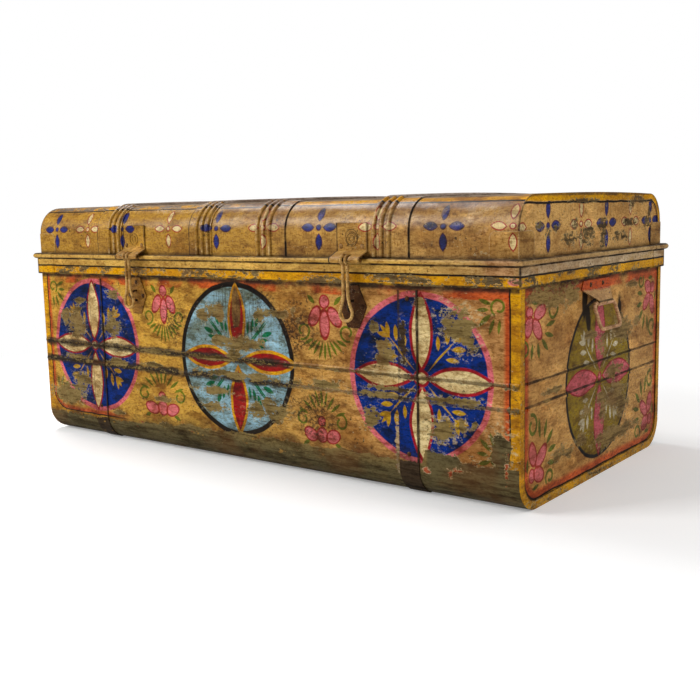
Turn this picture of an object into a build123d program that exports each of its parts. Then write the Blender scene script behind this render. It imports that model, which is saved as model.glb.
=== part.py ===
"""Sheet-iron travelling chest with a round-shouldered lid, two hasps and two end handles.

Frame: origin at the centre of the underside of the base sheet, +X to the right along the
length, -Y towards the front with the hasps, +Z up.  Sizes are millimetres.
"""
from build123d import *
import math
import os

# Body: one deep tray of sheet iron, wrapped front-base-back and closed by two end panels
body_length = 993.8
body_depth = 494.8
mouth_height = 326.7
base_radius = 45.0
sheet = 1.2
hem_depth = 10.0
seam_width = 13.0
ridge_heights = (139.0, 173.5)
ridge_radius = 4.6
ridge_height = 1.6
ridge_stop = 8.0  # bare panel between an end ridge and the seam
joint_x = 171.0  # where the two sheets of the wrap meet
joint_gap = 0.4
joint_strip_width = 24.0

# Iron straps up the front and the back
strap_left_x = -343.0
strap_right_x = 325.0
strap_width = 33.0
strap_thickness = 1.5
strap_top_drop = 34.7  # from the mouth to the strap's top
strap_foot = 2.0
strap_rivet_drop = 12.0
strap_low_rivet = 62.0

# Lid rim: a flat skirt that drops over the body and a half-round bead above it
end_gap = 1.1
side_gap = 3.6
closing_gap = 0.3
skirt_height = 29.0
skirt_thickness = 1.2
bead_radius = 4.0
bead_stand = 1.3
lid_step = 5.2  # the lid wall stands in from the skirt by this
lid_rise = 92.5  # from the underside of the bead to the crown
shoulder_radius = 46.0
crown_drop = 2.5

# Cross bands of the lid, each with a lapped edge away from the middle and three swaged ribs
band_outer_edge = 328.0
band_outer_width = 64.0
band_left_edge = 98.0
band_left_width = 50.0
band_right_edge = 107.0
band_right_width = 62.0
band_thickness = 1.5
band_foot = 1.5
rib_radius = 3.2
rib_pitch = 12.3
rib_first = 7.0
rib_count = 3

# Corner plates that clasp the skirt, the bead and the lid wall
corner_thickness = 0.8
corner_reach = 47.0
corner_tab = 36.0
corner_round = 9.0
corner_lift = 0.5

# Rivets, and the turn of every rolled edge round its pin
rivet_radius = 3.6
rivet_height = 1.8
roll_turn = 265.0

# Hasps: a doubled wire with an eye at each end, hung on a pin in a rolled plate
hasp_x = 232.0
hasp_pin_stand = 18.0  # from the front of the body to the pin
hasp_pin_rise = 5.5  # from the top of the skirt to the pin
hasp_pin_radius = 2.6
hasp_pin_inset = 4.0  # the pin stops short of the open ends of the roll
pin_play = 0.05
hasp_wire = 4.6
hasp_rod_spacing = 8.0
hasp_rod_length = 44.0
hasp_loop_radius = 11.0
hasp_loop_drop = 75.2
hasp_neck_radius = 4.0
hasp_plate_width = 54.0
hasp_plate_top_rise = 57.0  # rises are from the top of the skirt
hasp_plate_bend_rise = 17.0
hasp_plate_thickness = 1.8
hasp_notch_width = 16.0
hasp_notch_reach = 9.0
hasp_emboss_rise = 34.0
hasp_emboss_radii = (10.5, 5.5)
hasp_emboss_width = 2.0
hasp_emboss_height = 0.7
hasp_rivet_x = 19.0
hasp_rivet_rise = 24.0

# Staples on the body, each a bent wire through a six-sided plate
staple_drop = 67.0  # from the hasp pin to the middle of the staple
staple_spread = 16.0
staple_wire = 3.6
staple_stand = 15.0
staple_play = 0.1
staple_plate_height = 62.0
staple_plate_half = 24.0
staple_plate_end_half = 10.0
staple_plate_thickness = 1.5
staple_rivet_drop = 9.0
staple_rivet_x = 16.0

# Back hinges: rolled leaves on a pin just behind the lower edge of the skirt
hinge_x = 232.0
hinge_pitch = 12.0
hinge_knuckles = 5
hinge_pin_radius = 2.0
hinge_play = 0.4
hinge_thickness = 1.5
hinge_stand = 5.1  # from the skirt to the pin
hinge_pin_overhang = 1.5
hinge_leaf_drop = 64.0  # drops and rises are from the pin
hinge_low_bend_drop = 14.0
hinge_leaf_rise = 26.0
hinge_high_bend_rise = 9.0
hinge_notch = 4.6
hinge_rivet_x = 20.0
hinge_low_rivet_drops = (54.0, 28.0)
hinge_high_rivet_rise = 18.0

# End handles: a rectangular wire bail in the rolled edge of a six-sided plate
handle_y = -12.0
handle_pivot_drop = 64.7  # from the mouth to the pivot
handle_stand = 12.7  # from the end panel to the bail
handle_plate_top_rise = 33.0  # rises are from the pivot
handle_plate_bend_rise = 19.0
handle_plate_thickness = 1.5
handle_plate_halves = (45.0, 52.0, 25.0, 25.0)
handle_plate_waist_rise = 21.0
handle_rivet_y = 21.5
handle_rivet_rise = 26.0
bail_wire = 5.5
bail_play = 0.3
bail_width = 72.0
bail_drop = 38.0
bail_corner = 9.0
bail_tilt = 18.0

# Planes and edges that follow from the sizes above
body_half_x = body_length / 2
body_half_y = body_depth / 2
wrap_half_x = body_half_x - sheet
panel_back_x = wrap_half_x - sheet
skirt_half_x = body_half_x + end_gap + skirt_thickness
skirt_half_y = body_half_y + side_gap + skirt_thickness
skirt_top = mouth_height + closing_gap
skirt_low = skirt_top - skirt_height
bead_z = skirt_top + bead_radius
bead_top = skirt_top + 2 * bead_radius
lid_half_x = skirt_half_x - lid_step
lid_half_y = skirt_half_y - lid_step
lid_wrap_half_x = lid_half_x - sheet
crown_z = skirt_top + lid_rise
crown_half = lid_half_y - shoulder_radius
crown_radius = (crown_half**2 + crown_drop**2) / (2 * crown_drop)
crown_centre_z = crown_z - crown_radius
shoulder_z = crown_centre_z + math.sqrt((crown_radius - shoulder_radius) ** 2 - crown_half**2)
lid_joint_left = -band_left_edge + band_left_width / 2
lid_joint_right = band_right_edge - band_right_width / 2
strap_places = {"left": strap_left_x, "right": strap_right_x}
strap_top = mouth_height - strap_top_drop
hasp_pin_y = -(body_half_y + hasp_pin_stand)
hasp_pin_z = skirt_top + hasp_pin_rise
hasp_emboss_z = skirt_top + hasp_emboss_rise
staple_z = hasp_pin_z - staple_drop
hinge_pin_y = skirt_half_y + hinge_stand
hinge_pin_z = skirt_low
hinge_width = hinge_pitch * hinge_knuckles
handle_pivot_x = wrap_half_x + handle_stand
handle_pivot_z = mouth_height - handle_pivot_drop


def polar(centre, radius, angle):
    """Point on a circle, with the angle in degrees."""
    turn = math.radians(angle)
    return (centre[0] + radius * math.cos(turn), centre[1] + radius * math.sin(turn))


def tangent_angle(start, centre, radius, side):
    """Angle of the point where a line from start touches the circle, on the chosen side."""
    across = start[0] - centre[0]
    up = start[1] - centre[1]
    spread = math.degrees(math.acos(radius / math.hypot(across, up)))
    return math.degrees(math.atan2(up, across)) + side * spread


def body_section(grow, ridged=True):
    """Section of the body across its length, as a filled shape grown outwards."""
    half = body_half_y + grow
    ridge_y = body_half_y - ridge_radius + ridge_height
    with BuildSketch() as section:
        with Locations((0, mouth_height)):
            Rectangle(2 * half, mouth_height + grow, align=(Align.CENTER, Align.MAX))
        fillet(section.vertices().group_by(Axis.Y)[0], base_radius + grow)
        if ridged:
            with Locations(*[(side * ridge_y, z) for side in (-1, 1) for z in ridge_heights]):
                Circle(ridge_radius + grow)
    return section.sketch


def arch_line(grow, foot, plane):
    """Outline of the lid section from the front foot over the crown to the back foot."""
    half = lid_half_y + grow
    shoulder = shoulder_radius + grow
    tilt = math.degrees(math.atan2(shoulder_z - crown_centre_z, crown_half))
    with BuildLine(plane) as line:
        for side in (-1, 1):
            centre = (side * crown_half, shoulder_z)
            outer = 180 if side < 0 else 0
            inner = 180 - tilt if side < 0 else tilt
            Line((side * half, foot), (side * half, shoulder_z))
            middle = (outer + inner) / 2
            ends = [polar(centre, shoulder, angle) for angle in (outer, middle, inner)]
            ThreePointArc(*ends)
        touch = polar((0, crown_centre_z), crown_radius + grow, tilt)
        ThreePointArc((-touch[0], touch[1]), (0, crown_z + grow), touch)
    return line.line


def lid_section(grow):
    """Section of the lid across its length, as a filled shape grown outwards."""
    half = lid_half_y + grow
    with BuildSketch() as section:
        with BuildLine():
            add(arch_line(grow, bead_top, Plane.XY))
            Line((-half, bead_top), (half, bead_top))
        make_face()
    return section.sketch


def rim_section(grow):
    """Section of the front skirt, bead and lower lid wall, grown outwards from the chest."""
    inner = -lid_half_y + sheet
    with BuildSketch() as section:
        with Locations((inner, skirt_low + corner_lift)):
            Rectangle(skirt_half_y + inner + grow, skirt_height, align=(Align.MAX, Align.MIN))
        with Locations((inner, bead_z)):
            bead_reach = skirt_half_y + bead_stand + inner
            Rectangle(bead_reach, 2 * (bead_radius + grow), align=(Align.MAX, Align.CENTER))
        with Locations((-(skirt_half_y + bead_stand), bead_z)):
            Circle(bead_radius + grow)
        with Locations((inner, bead_top)):
            Rectangle(sheet + grow, corner_tab, align=(Align.MAX, Align.MIN))
    return section.sketch


def rolled_leaf(foot, bend, centre, thickness, bore, side, turn):
    """Section of a flat leaf that leaves its seat at the bend and rolls round a pin."""
    middle = bore + thickness / 2
    start = tangent_angle(bend, centre, middle, side)
    with BuildSketch() as section:
        with BuildLine():
            Polyline(foot, bend, polar(centre, middle, start))
            CenterArc(centre, middle, start, turn)
        trace(line_width=thickness)
    return section.sketch


def plate_outline(centre, halves, heights):
    """Symmetric outline, given its half widths and heights from top to bottom."""
    right = [(centre + half, z) for half, z in zip(halves, heights)]
    left = [(centre - half, z) for half, z in zip(reversed(halves), reversed(heights))]
    with BuildSketch() as outline:
        with BuildLine():
            Polyline(*right, *left, close=True)
        make_face()
    return outline.sketch


def front_plane(x, y, z):
    """Plane on a surface that faces the front."""
    return Plane(origin=(x, y, z), x_dir=(1, 0, 0), z_dir=(0, -1, 0))


def back_plane(x, y, z):
    """Plane on a surface that faces the back."""
    return Plane(origin=(x, y, z), x_dir=(-1, 0, 0), z_dir=(0, 1, 0))


def end_plane(side, x, y, z):
    """Plane on a surface that faces the right end (side 1) or the left end (side -1)."""
    return Plane(origin=(side * x, y, z), x_dir=(0, side, 0), z_dir=(side, 0, 0))


def rivet_heads():
    """One domed rivet head at each of the current locations."""
    dome = (rivet_radius**2 + rivet_height**2) / (2 * rivet_height)
    flat = math.degrees(math.asin((dome - rivet_height) / dome))
    Sphere(dome, arc_size1=flat, arc_size2=90, align=(Align.CENTER, Align.CENTER, Align.MIN))


def save(builder, name):
    """Label a finished piece and write it to its own file."""
    builder.part.label = name
    export_step(builder.part, f"parts/{name}.step")


def save_mirrored(builder, name, plane):
    """Write the mirror image of a finished piece under its own name."""
    with BuildPart() as twin:
        mirror(builder.part, about=plane)
    save(twin, name)


os.makedirs("parts", exist_ok=True)

wrap_outside = body_section(0)
wrap_inside = body_section(-sheet)
strip_inside = body_section(-2 * sheet)
strap_outside = body_section(strap_thickness)
plain_outside = body_section(0, ridged=False)
panel_outline = body_section(-sheet, ridged=False)
seam_inside = body_section(-seam_width, ridged=False)
arch_outside = lid_section(0)
arch_inside = lid_section(-sheet)
arch_seam_inside = lid_section(-seam_width)
rim_bare = rim_section(0)
rim_covered = rim_section(corner_thickness)

# Two sheets of the wrap, butted at the joint, with the top edge hemmed inwards
for name, start, end in (
    ("body_sheet_left", -wrap_half_x, joint_x - joint_gap / 2),
    ("body_sheet_right", joint_x + joint_gap / 2, wrap_half_x),
):
    hem_start = max(start, -panel_back_x)
    hem_end = min(end, panel_back_x)
    with BuildPart() as body_sheet:
        with BuildSketch(Plane.YZ.offset(start)):
            add(wrap_outside)
            add(wrap_inside, mode=Mode.SUBTRACT)
        extrude(amount=end - start)
        with BuildSketch(Plane.YZ.offset(hem_start)):
            with Locations((-body_half_y + 1.5 * sheet, mouth_height), (body_half_y - 1.5 * sheet, mouth_height)):
                Rectangle(sheet, hem_depth, align=(Align.CENTER, Align.MAX))
        extrude(amount=hem_end - hem_start)
    save(body_sheet, name)

# Strip inside the wrap that carries the joint
with BuildPart() as joint_strip:
    with BuildSketch(Plane.YZ.offset(joint_x - joint_strip_width / 2)):
        add(wrap_inside)
        add(strip_inside, mode=Mode.SUBTRACT)
        with Locations((0, mouth_height - hem_depth)):
            Rectangle(body_depth, mouth_height, align=(Align.CENTER, Align.MAX), mode=Mode.INTERSECT)
    extrude(amount=joint_strip_width)
save(joint_strip, "joint_strip")

# End panels, with the same two ridges as the wrap and a hemmed top
ridge_length = 2 * (body_half_y - seam_width - ridge_stop)
with BuildPart() as body_end:
    with BuildSketch(Plane.XZ.offset(-ridge_length / 2)):
        with Locations(*[(wrap_half_x - ridge_radius + ridge_height, z) for z in ridge_heights]):
            Circle(ridge_radius)
        with Locations((panel_back_x, 0)):
            Rectangle(3 * ridge_radius, mouth_height, align=(Align.MIN, Align.MIN), mode=Mode.INTERSECT)
    extrude(amount=ridge_length)
    with BuildSketch(Plane.YZ.offset(panel_back_x)):
        add(panel_outline)
    extrude(amount=sheet)
    with BuildSketch(Plane.XZ.offset(-(ridge_length / 2 - sheet))):
        with Locations(*[(wrap_half_x - ridge_radius + ridge_height, z) for z in ridge_heights]):
            Circle(ridge_radius - sheet)
    extrude(amount=ridge_length - 2 * sheet, mode=Mode.SUBTRACT)
    with BuildSketch(Plane.YZ.offset(panel_back_x - sheet)):
        with Locations((0, mouth_height)):
            Rectangle(2 * (body_half_y - 2 * sheet), hem_depth, align=(Align.CENTER, Align.MAX))
    extrude(amount=sheet)
save(body_end, "body_end_right")
save_mirrored(body_end, "body_end_left", Plane.YZ)

# Folded seams that close the edges of the end panels
with BuildPart() as body_seam:
    with BuildSketch(Plane.YZ.offset(wrap_half_x)):
        add(plain_outside)
        add(seam_inside, mode=Mode.SUBTRACT)
    extrude(amount=sheet)
save(body_seam, "body_seam_right")
save_mirrored(body_seam, "body_seam_left", Plane.YZ)

# Straps: they follow the wall over its ridges and round the lower corner
for side, x in strap_places.items():
    with BuildPart() as strap:
        with BuildSketch(Plane.YZ.offset(x - strap_width / 2)):
            add(strap_outside)
            add(wrap_outside, mode=Mode.SUBTRACT)
            with Locations((-body_half_y + base_radius, strap_foot)):
                Rectangle(
                    body_depth,
                    strap_top - strap_foot,
                    align=(Align.MAX, Align.MIN),
                    mode=Mode.INTERSECT,
                )
        extrude(amount=strap_width)
    save(strap, f"strap_front_{side}")
    save_mirrored(strap, f"strap_back_{side}", Plane.XZ)

# Staple plates and staples on the front
staple_half = staple_spread / 2
staple_top_z = staple_z + staple_plate_height / 2
staple_heights = (staple_top_z, staple_z, staple_z - staple_plate_height / 2)
staple_outline = plate_outline(0, (staple_plate_end_half, staple_plate_half, staple_plate_end_half), staple_heights)
with BuildPart() as staple_plate:
    with BuildSketch(Plane.XZ.offset(body_half_y)):
        with Locations((hasp_x, 0)):
            add(staple_outline)
        with Locations((hasp_x, staple_z - staple_half), (hasp_x, staple_z + staple_half)):
            Circle(staple_wire / 2 + staple_play, mode=Mode.SUBTRACT)
    extrude(amount=staple_plate_thickness)
save(staple_plate, "staple_plate_right")
save_mirrored(staple_plate, "staple_plate_left", Plane.YZ)

staple_turn_y = -(body_half_y + staple_stand - staple_wire / 2 - staple_half)
with BuildPart() as staple:
    with BuildLine(Plane.YZ.offset(hasp_x)) as staple_line:
        Line((-body_half_y, staple_z + staple_half), (staple_turn_y, staple_z + staple_half))
        CenterArc((staple_turn_y, staple_z), staple_half, 90, 180)
        Line((staple_turn_y, staple_z - staple_half), (-body_half_y, staple_z - staple_half))
    with BuildSketch(Plane(origin=staple_line.line @ 0, z_dir=staple_line.line % 0)):
        Circle(staple_wire / 2)
    sweep()
save(staple, "staple_right")
save_mirrored(staple, "staple_left", Plane.YZ)

# Handle plates: riveted above, bent outwards and rolled round the bail
handle_centre = (handle_pivot_x, handle_pivot_z)
handle_flap_x = wrap_half_x + handle_plate_thickness / 2
handle_leaf = rolled_leaf(
    (handle_flap_x, handle_pivot_z + handle_plate_top_rise),
    (handle_flap_x, handle_pivot_z + handle_plate_bend_rise),
    handle_centre,
    handle_plate_thickness,
    bail_wire / 2 + bail_play,
    -1,
    -roll_turn,
)
handle_roll = bail_wire / 2 + bail_play + handle_plate_thickness
handle_heights = (
    handle_pivot_z + handle_plate_top_rise,
    handle_pivot_z + handle_plate_waist_rise,
    handle_pivot_z + handle_roll,
    handle_pivot_z - 2 * handle_roll,
)
handle_outline = plate_outline(handle_y, handle_plate_halves, handle_heights)
handle_widest = max(handle_plate_halves)
handle_depth = handle_stand + bail_wire + 2 * handle_plate_thickness
with BuildPart() as handle_plate:
    with BuildSketch(Plane.XZ.offset(-(handle_y + handle_widest))):
        add(handle_leaf)
    extrude(amount=2 * handle_widest)
    with BuildSketch(Plane.YZ.offset(wrap_half_x)):
        add(handle_outline)
    extrude(amount=handle_depth, mode=Mode.INTERSECT)
save(handle_plate, "handle_plate_right")
save_mirrored(handle_plate, "handle_plate_left", Plane.YZ)

# Bails: a closed rectangle of round wire, standing a little off the end panel
tilt = math.radians(bail_tilt)
bail_plane = Plane(
    origin=(handle_pivot_x, handle_y, handle_pivot_z),
    x_dir=(0, 1, 0),
    z_dir=(math.cos(tilt), 0, math.sin(tilt)),
)
bail_half = bail_width / 2
with BuildPart() as bail:
    with BuildLine(bail_plane) as bail_line:
        FilletPolyline(
            (bail_half, 0),
            (bail_half, -bail_drop),
            (-bail_half, -bail_drop),
            (-bail_half, 0),
            radius=bail_corner,
            close=True,
        )
    with BuildSketch(Plane(origin=bail_line.line @ 0, z_dir=bail_line.line % 0)):
        Circle(bail_wire / 2)
    sweep()
save(bail, "bail_right")
save_mirrored(bail, "bail_left", Plane.YZ)

# Skirt of the lid: long strips at front and back, short strips between them at the ends
skirt_mid_z = (skirt_low + skirt_top) / 2
with BuildPart() as skirt_front:
    with Locations((0, -skirt_half_y + skirt_thickness / 2, skirt_mid_z)):
        Box(2 * skirt_half_x, skirt_thickness, skirt_height)
save(skirt_front, "skirt_front")
save_mirrored(skirt_front, "skirt_back", Plane.XZ)
with BuildPart() as skirt_end:
    with Locations((skirt_half_x - skirt_thickness / 2, 0, skirt_mid_z)):
        Box(skirt_thickness, 2 * (skirt_half_y - skirt_thickness), skirt_height)
save(skirt_end, "skirt_right")
save_mirrored(skirt_end, "skirt_left", Plane.YZ)

# Beads: half-round bars on the skirt, mitred at the corners
bead_in_x = lid_half_x - sheet
bead_in_y = lid_half_y - sheet
bead_reach = lid_step + sheet + bead_stand + bead_radius
bead_out_x = bead_in_x + bead_reach
bead_out_y = bead_in_y + bead_reach
bead_depth = bead_reach - bead_radius
with BuildPart() as bead_front:
    with BuildSketch(Plane.YZ.offset(-bead_out_x)):
        with Locations((-bead_in_y, bead_z)):
            Rectangle(bead_depth, 2 * bead_radius, align=(Align.MAX, Align.CENTER))
        with Locations((-bead_in_y - bead_depth, bead_z)):
            Circle(bead_radius)
    extrude(amount=2 * bead_out_x)
    with BuildSketch(Plane.XY.offset(skirt_low)):
        with BuildLine():
            Polyline(
                (-bead_in_x, -bead_in_y),
                (-bead_out_x, -bead_out_y),
                (bead_out_x, -bead_out_y),
                (bead_in_x, -bead_in_y),
                close=True,
            )
        make_face()
    extrude(amount=2 * skirt_height, mode=Mode.INTERSECT)
save(bead_front, "bead_front")
save_mirrored(bead_front, "bead_back", Plane.XZ)
with BuildPart() as bead_end:
    with BuildSketch(Plane.XZ.offset(-bead_out_y)):
        with Locations((bead_in_x, bead_z)):
            Rectangle(bead_depth, 2 * bead_radius, align=(Align.MIN, Align.CENTER))
        with Locations((bead_in_x + bead_depth, bead_z)):
            Circle(bead_radius)
    extrude(amount=2 * bead_out_y)
    with BuildSketch(Plane.XY.offset(skirt_low)):
        with BuildLine():
            Polyline(
                (bead_in_x, -bead_in_y),
                (bead_out_x, -bead_out_y),
                (bead_out_x, bead_out_y),
                (bead_in_x, bead_in_y),
                close=True,
            )
        make_face()
    extrude(amount=2 * skirt_height, mode=Mode.INTERSECT)
save(bead_end, "bead_right")
save_mirrored(bead_end, "bead_left", Plane.YZ)

# Lid: one crown sheet, and round shoulders in three lengths that meet under the inner bands
with BuildPart() as lid_crown:
    with BuildSketch(Plane.YZ.offset(-lid_wrap_half_x)):
        add(arch_outside)
        add(arch_inside, mode=Mode.SUBTRACT)
        with Locations((0, bead_top)):
            Rectangle(2 * crown_half, lid_rise, align=(Align.CENTER, Align.MIN), mode=Mode.INTERSECT)
    extrude(amount=2 * lid_wrap_half_x)
save(lid_crown, "lid_crown")
for name, start, end in (
    ("left", -lid_wrap_half_x, lid_joint_left),
    ("middle", lid_joint_left, lid_joint_right),
    ("right", lid_joint_right, lid_wrap_half_x),
):
    with BuildPart() as lid_shoulder:
        with BuildSketch(Plane.YZ.offset(start)):
            add(arch_outside)
            add(arch_inside, mode=Mode.SUBTRACT)
            with Locations((-crown_half, bead_top)):
                Rectangle(lid_half_y, lid_rise, align=(Align.MAX, Align.MIN), mode=Mode.INTERSECT)
        extrude(amount=end - start)
    save(lid_shoulder, f"lid_shoulder_front_{name}")
    save_mirrored(lid_shoulder, f"lid_shoulder_back_{name}", Plane.XZ)

with BuildPart() as lid_end:
    with BuildSketch(Plane.YZ.offset(lid_wrap_half_x - sheet)):
        add(arch_inside)
    extrude(amount=sheet)
save(lid_end, "lid_end_right")
save_mirrored(lid_end, "lid_end_left", Plane.YZ)

with BuildPart() as lid_seam:
    with BuildSketch(Plane.YZ.offset(lid_wrap_half_x)):
        add(arch_outside)
        add(arch_seam_inside, mode=Mode.SUBTRACT)
    extrude(amount=sheet)
save(lid_seam, "lid_seam_right")
save_mirrored(lid_seam, "lid_seam_left", Plane.YZ)

# Cross bands over the lid: flat iron with three ribs beside the edge nearer the middle
band_start_z = bead_top + band_foot
band_route = arch_line(0, band_start_z, Plane.YZ)
for name, edge, width, toward in (
    ("outer_left", -band_outer_edge, band_outer_width, 1),
    ("inner_left", -band_left_edge, band_left_width, 1),
    ("inner_right", band_right_edge, band_right_width, -1),
    ("outer_right", band_outer_edge, band_outer_width, -1),
):
    inner_edge = edge + toward * width
    ribs = [inner_edge - toward * (rib_first + step * rib_pitch) for step in range(rib_count)]
    with BuildPart() as band:
        with BuildSketch(Plane(origin=(0, -lid_half_y, band_start_z), x_dir=(1, 0, 0), z_dir=(0, 0, 1))):
            with Locations(((edge + inner_edge) / 2, 0)):
                Rectangle(width, band_thickness, align=(Align.CENTER, Align.MAX))
            with Locations(*[(x, -band_thickness) for x in ribs]):
                Circle(rib_radius)
            with Locations((0, 0)):
                Rectangle(body_length, 2 * rib_radius, align=(Align.CENTER, Align.MIN), mode=Mode.SUBTRACT)
        sweep(path=band_route)
    save(band, f"lid_band_{name}")

# Corner plates: bent over the skirt, the bead and the lid wall, and round the corner
corner_plane = Plane(
    origin=(skirt_half_x, -skirt_half_y, 0),
    x_dir=(0, 0, 1),
    z_dir=(1, 1, 0),
)
with BuildPart() as corner_plate:
    with BuildSketch(Plane.YZ.offset(skirt_half_x - corner_reach)):
        add(rim_covered)
        add(rim_bare, mode=Mode.SUBTRACT)
    extrude(amount=corner_reach + bead_reach)
    tab_corner = corner_plate.edges().filter_by(Axis.Y).group_by(Axis.Z)[-1].sort_by(Axis.X)[0]
    fillet(tab_corner, corner_round)
    split(bisect_by=corner_plane, keep=Keep.BOTTOM)
    mirror(about=corner_plane)
save(corner_plate, "corner_plate_front_right")
save_mirrored(corner_plate, "corner_plate_front_left", Plane.YZ)
save_mirrored(corner_plate, "corner_plate_back_right", Plane.XZ)
with BuildPart() as corner_back_left:
    with Locations(Location((0, 0, 0), (0, 0, 180))):
        add(corner_plate.part)
save(corner_back_left, "corner_plate_back_left")

# Hasp plates on the lid, bent outwards and rolled round the hasp pin
hasp_centre = (hasp_pin_y, hasp_pin_z)
hasp_seat_y = -(lid_half_y + hasp_plate_thickness / 2)
hasp_leaf = rolled_leaf(
    (hasp_seat_y, skirt_top + hasp_plate_top_rise),
    (hasp_seat_y, skirt_top + hasp_plate_bend_rise),
    hasp_centre,
    hasp_plate_thickness,
    hasp_pin_radius + pin_play,
    1,
    roll_turn,
)
with BuildPart() as hasp_plate:
    with BuildSketch(Plane.YZ.offset(hasp_x - hasp_plate_width / 2)):
        add(hasp_leaf)
    extrude(amount=hasp_plate_width)
    with BuildSketch(Plane.XZ.offset(lid_half_y + hasp_plate_thickness)):
        for radius in hasp_emboss_radii:
            with Locations((hasp_x, hasp_emboss_z)):
                Circle(radius)
                Circle(radius - hasp_emboss_width, mode=Mode.SUBTRACT)
    extrude(amount=hasp_emboss_height)
    with Locations((hasp_x, hasp_pin_y, hasp_pin_z)):
        Box(hasp_notch_width, 2 * hasp_notch_reach, 2 * hasp_notch_reach, mode=Mode.SUBTRACT)
save(hasp_plate, "hasp_plate_right")
save_mirrored(hasp_plate, "hasp_plate_left", Plane.YZ)

with BuildPart() as hasp_pin:
    with BuildSketch(Plane.YZ.offset(hasp_x - hasp_plate_width / 2 + hasp_pin_inset)):
        with Locations(hasp_centre):
            Circle(hasp_pin_radius)
    extrude(amount=hasp_plate_width - 2 * hasp_pin_inset)
save(hasp_pin, "hasp_pin_right")
save_mirrored(hasp_pin, "hasp_pin_left", Plane.YZ)

# Hasp wire.  Its line is drawn across, up and out from the pin, in tangent arcs.
eye_radius = hasp_pin_radius + pin_play + hasp_wire / 2
neck_z = -math.sqrt(2 * hasp_neck_radius * eye_radius + eye_radius**2)
neck_centre = (hasp_neck_radius, neck_z)
neck_angle = math.degrees(math.atan2(-neck_z, -hasp_neck_radius))
eye_start = neck_angle - 180
eye_end = 200
rod_x = hasp_rod_spacing / 2
loop_centre = (0, -hasp_loop_drop)
flare_rise = hasp_loop_drop - hasp_rod_length
flare_radius = (rod_x**2 + flare_rise**2 - hasp_loop_radius**2) / (2 * (hasp_loop_radius - rod_x))
flare_centre = (rod_x + flare_radius, -hasp_rod_length)
flare_angle = math.degrees(math.atan2(-flare_rise, -flare_centre[0]))
flare_end = polar(flare_centre, flare_radius, flare_angle)
flare_middle = polar(flare_centre, flare_radius, (flare_angle - 180) / 2)


def eye_point(x, angle):
    """Point of the eye round the pin, at an angle counted from straight out."""
    out, up = polar((0, 0), eye_radius, angle)
    return (x, up, out)


def neck_point(x, angle):
    """Point of the small bend between the eye and the rod."""
    out, up = polar(neck_centre, hasp_neck_radius, angle)
    return (x, up, out)


hasp_plane = Plane(origin=(hasp_x, hasp_pin_y, hasp_pin_z), x_dir=(1, 0, 0), z_dir=(0, -1, 0))
with BuildPart() as hasp:
    with BuildLine(hasp_plane) as hasp_line:
        ThreePointArc(*[eye_point(-rod_x, a) for a in (eye_end, (eye_end + eye_start) / 2, eye_start)])
        ThreePointArc(*[neck_point(-rod_x, a) for a in (neck_angle, (neck_angle + 180) / 2, 180)])
        Line((-rod_x, neck_z), (-rod_x, -hasp_rod_length))
        ThreePointArc((-rod_x, -hasp_rod_length), (-flare_middle[0], flare_middle[1]), (-flare_end[0], flare_end[1]))
        ThreePointArc((-flare_end[0], flare_end[1]), (0, -hasp_loop_drop - hasp_loop_radius), flare_end)
        ThreePointArc(flare_end, flare_middle, (rod_x, -hasp_rod_length))
        Line((rod_x, -hasp_rod_length), (rod_x, neck_z))
        ThreePointArc(*[neck_point(rod_x, a) for a in (180, (neck_angle + 180) / 2, neck_angle)])
        ThreePointArc(*[eye_point(rod_x, a) for a in (eye_start, (eye_end + eye_start) / 2, eye_end)])
    with BuildSketch(Plane(origin=hasp_line.line @ 0, z_dir=hasp_line.line % 0)):
        Circle(hasp_wire / 2)
    sweep()
save(hasp, "hasp_right")
save_mirrored(hasp, "hasp_left", Plane.YZ)

# Hinges: body leaves with three knuckles, lid leaves with two, and their pins
hinge_centre = (hinge_pin_y, hinge_pin_z)
hinge_bore = hinge_pin_radius + pin_play
hinge_start = hinge_x - hinge_width / 2
low_seat_y = body_half_y + hinge_thickness / 2
high_seat_y = skirt_half_y + hinge_thickness / 2
low_leaf = rolled_leaf(
    (low_seat_y, hinge_pin_z - hinge_leaf_drop),
    (low_seat_y, hinge_pin_z - hinge_low_bend_drop),
    hinge_centre,
    hinge_thickness,
    hinge_bore,
    1,
    roll_turn,
)
high_leaf = rolled_leaf(
    (high_seat_y, hinge_pin_z + hinge_leaf_rise),
    (high_seat_y, hinge_pin_z + hinge_high_bend_rise),
    hinge_centre,
    hinge_thickness,
    hinge_bore,
    1,
    roll_turn,
)
knuckle_middles = [hinge_start + (step + 0.5) * hinge_pitch for step in range(hinge_knuckles)]
with BuildPart() as hinge_leaf_body:
    with BuildSketch(Plane.YZ.offset(hinge_start)):
        add(low_leaf)
    extrude(amount=hinge_width)
    with Locations(*[(x, hinge_pin_y, hinge_pin_z) for x in knuckle_middles[1::2]]):
        Box(hinge_pitch + 2 * hinge_play, 2 * hinge_notch, 2 * hinge_notch, mode=Mode.SUBTRACT)
save(hinge_leaf_body, "hinge_leaf_body_right")
save_mirrored(hinge_leaf_body, "hinge_leaf_body_left", Plane.YZ)

with BuildPart() as hinge_leaf_lid:
    with BuildSketch(Plane.YZ.offset(hinge_start)):
        add(high_leaf)
    extrude(amount=hinge_width)
    with Locations(*[(x, hinge_pin_y, hinge_pin_z) for x in knuckle_middles[0::2]]):
        Box(hinge_pitch, 2 * hinge_notch, 2 * hinge_notch, mode=Mode.SUBTRACT)
save(hinge_leaf_lid, "hinge_leaf_lid_right")
save_mirrored(hinge_leaf_lid, "hinge_leaf_lid_left", Plane.YZ)

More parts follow.
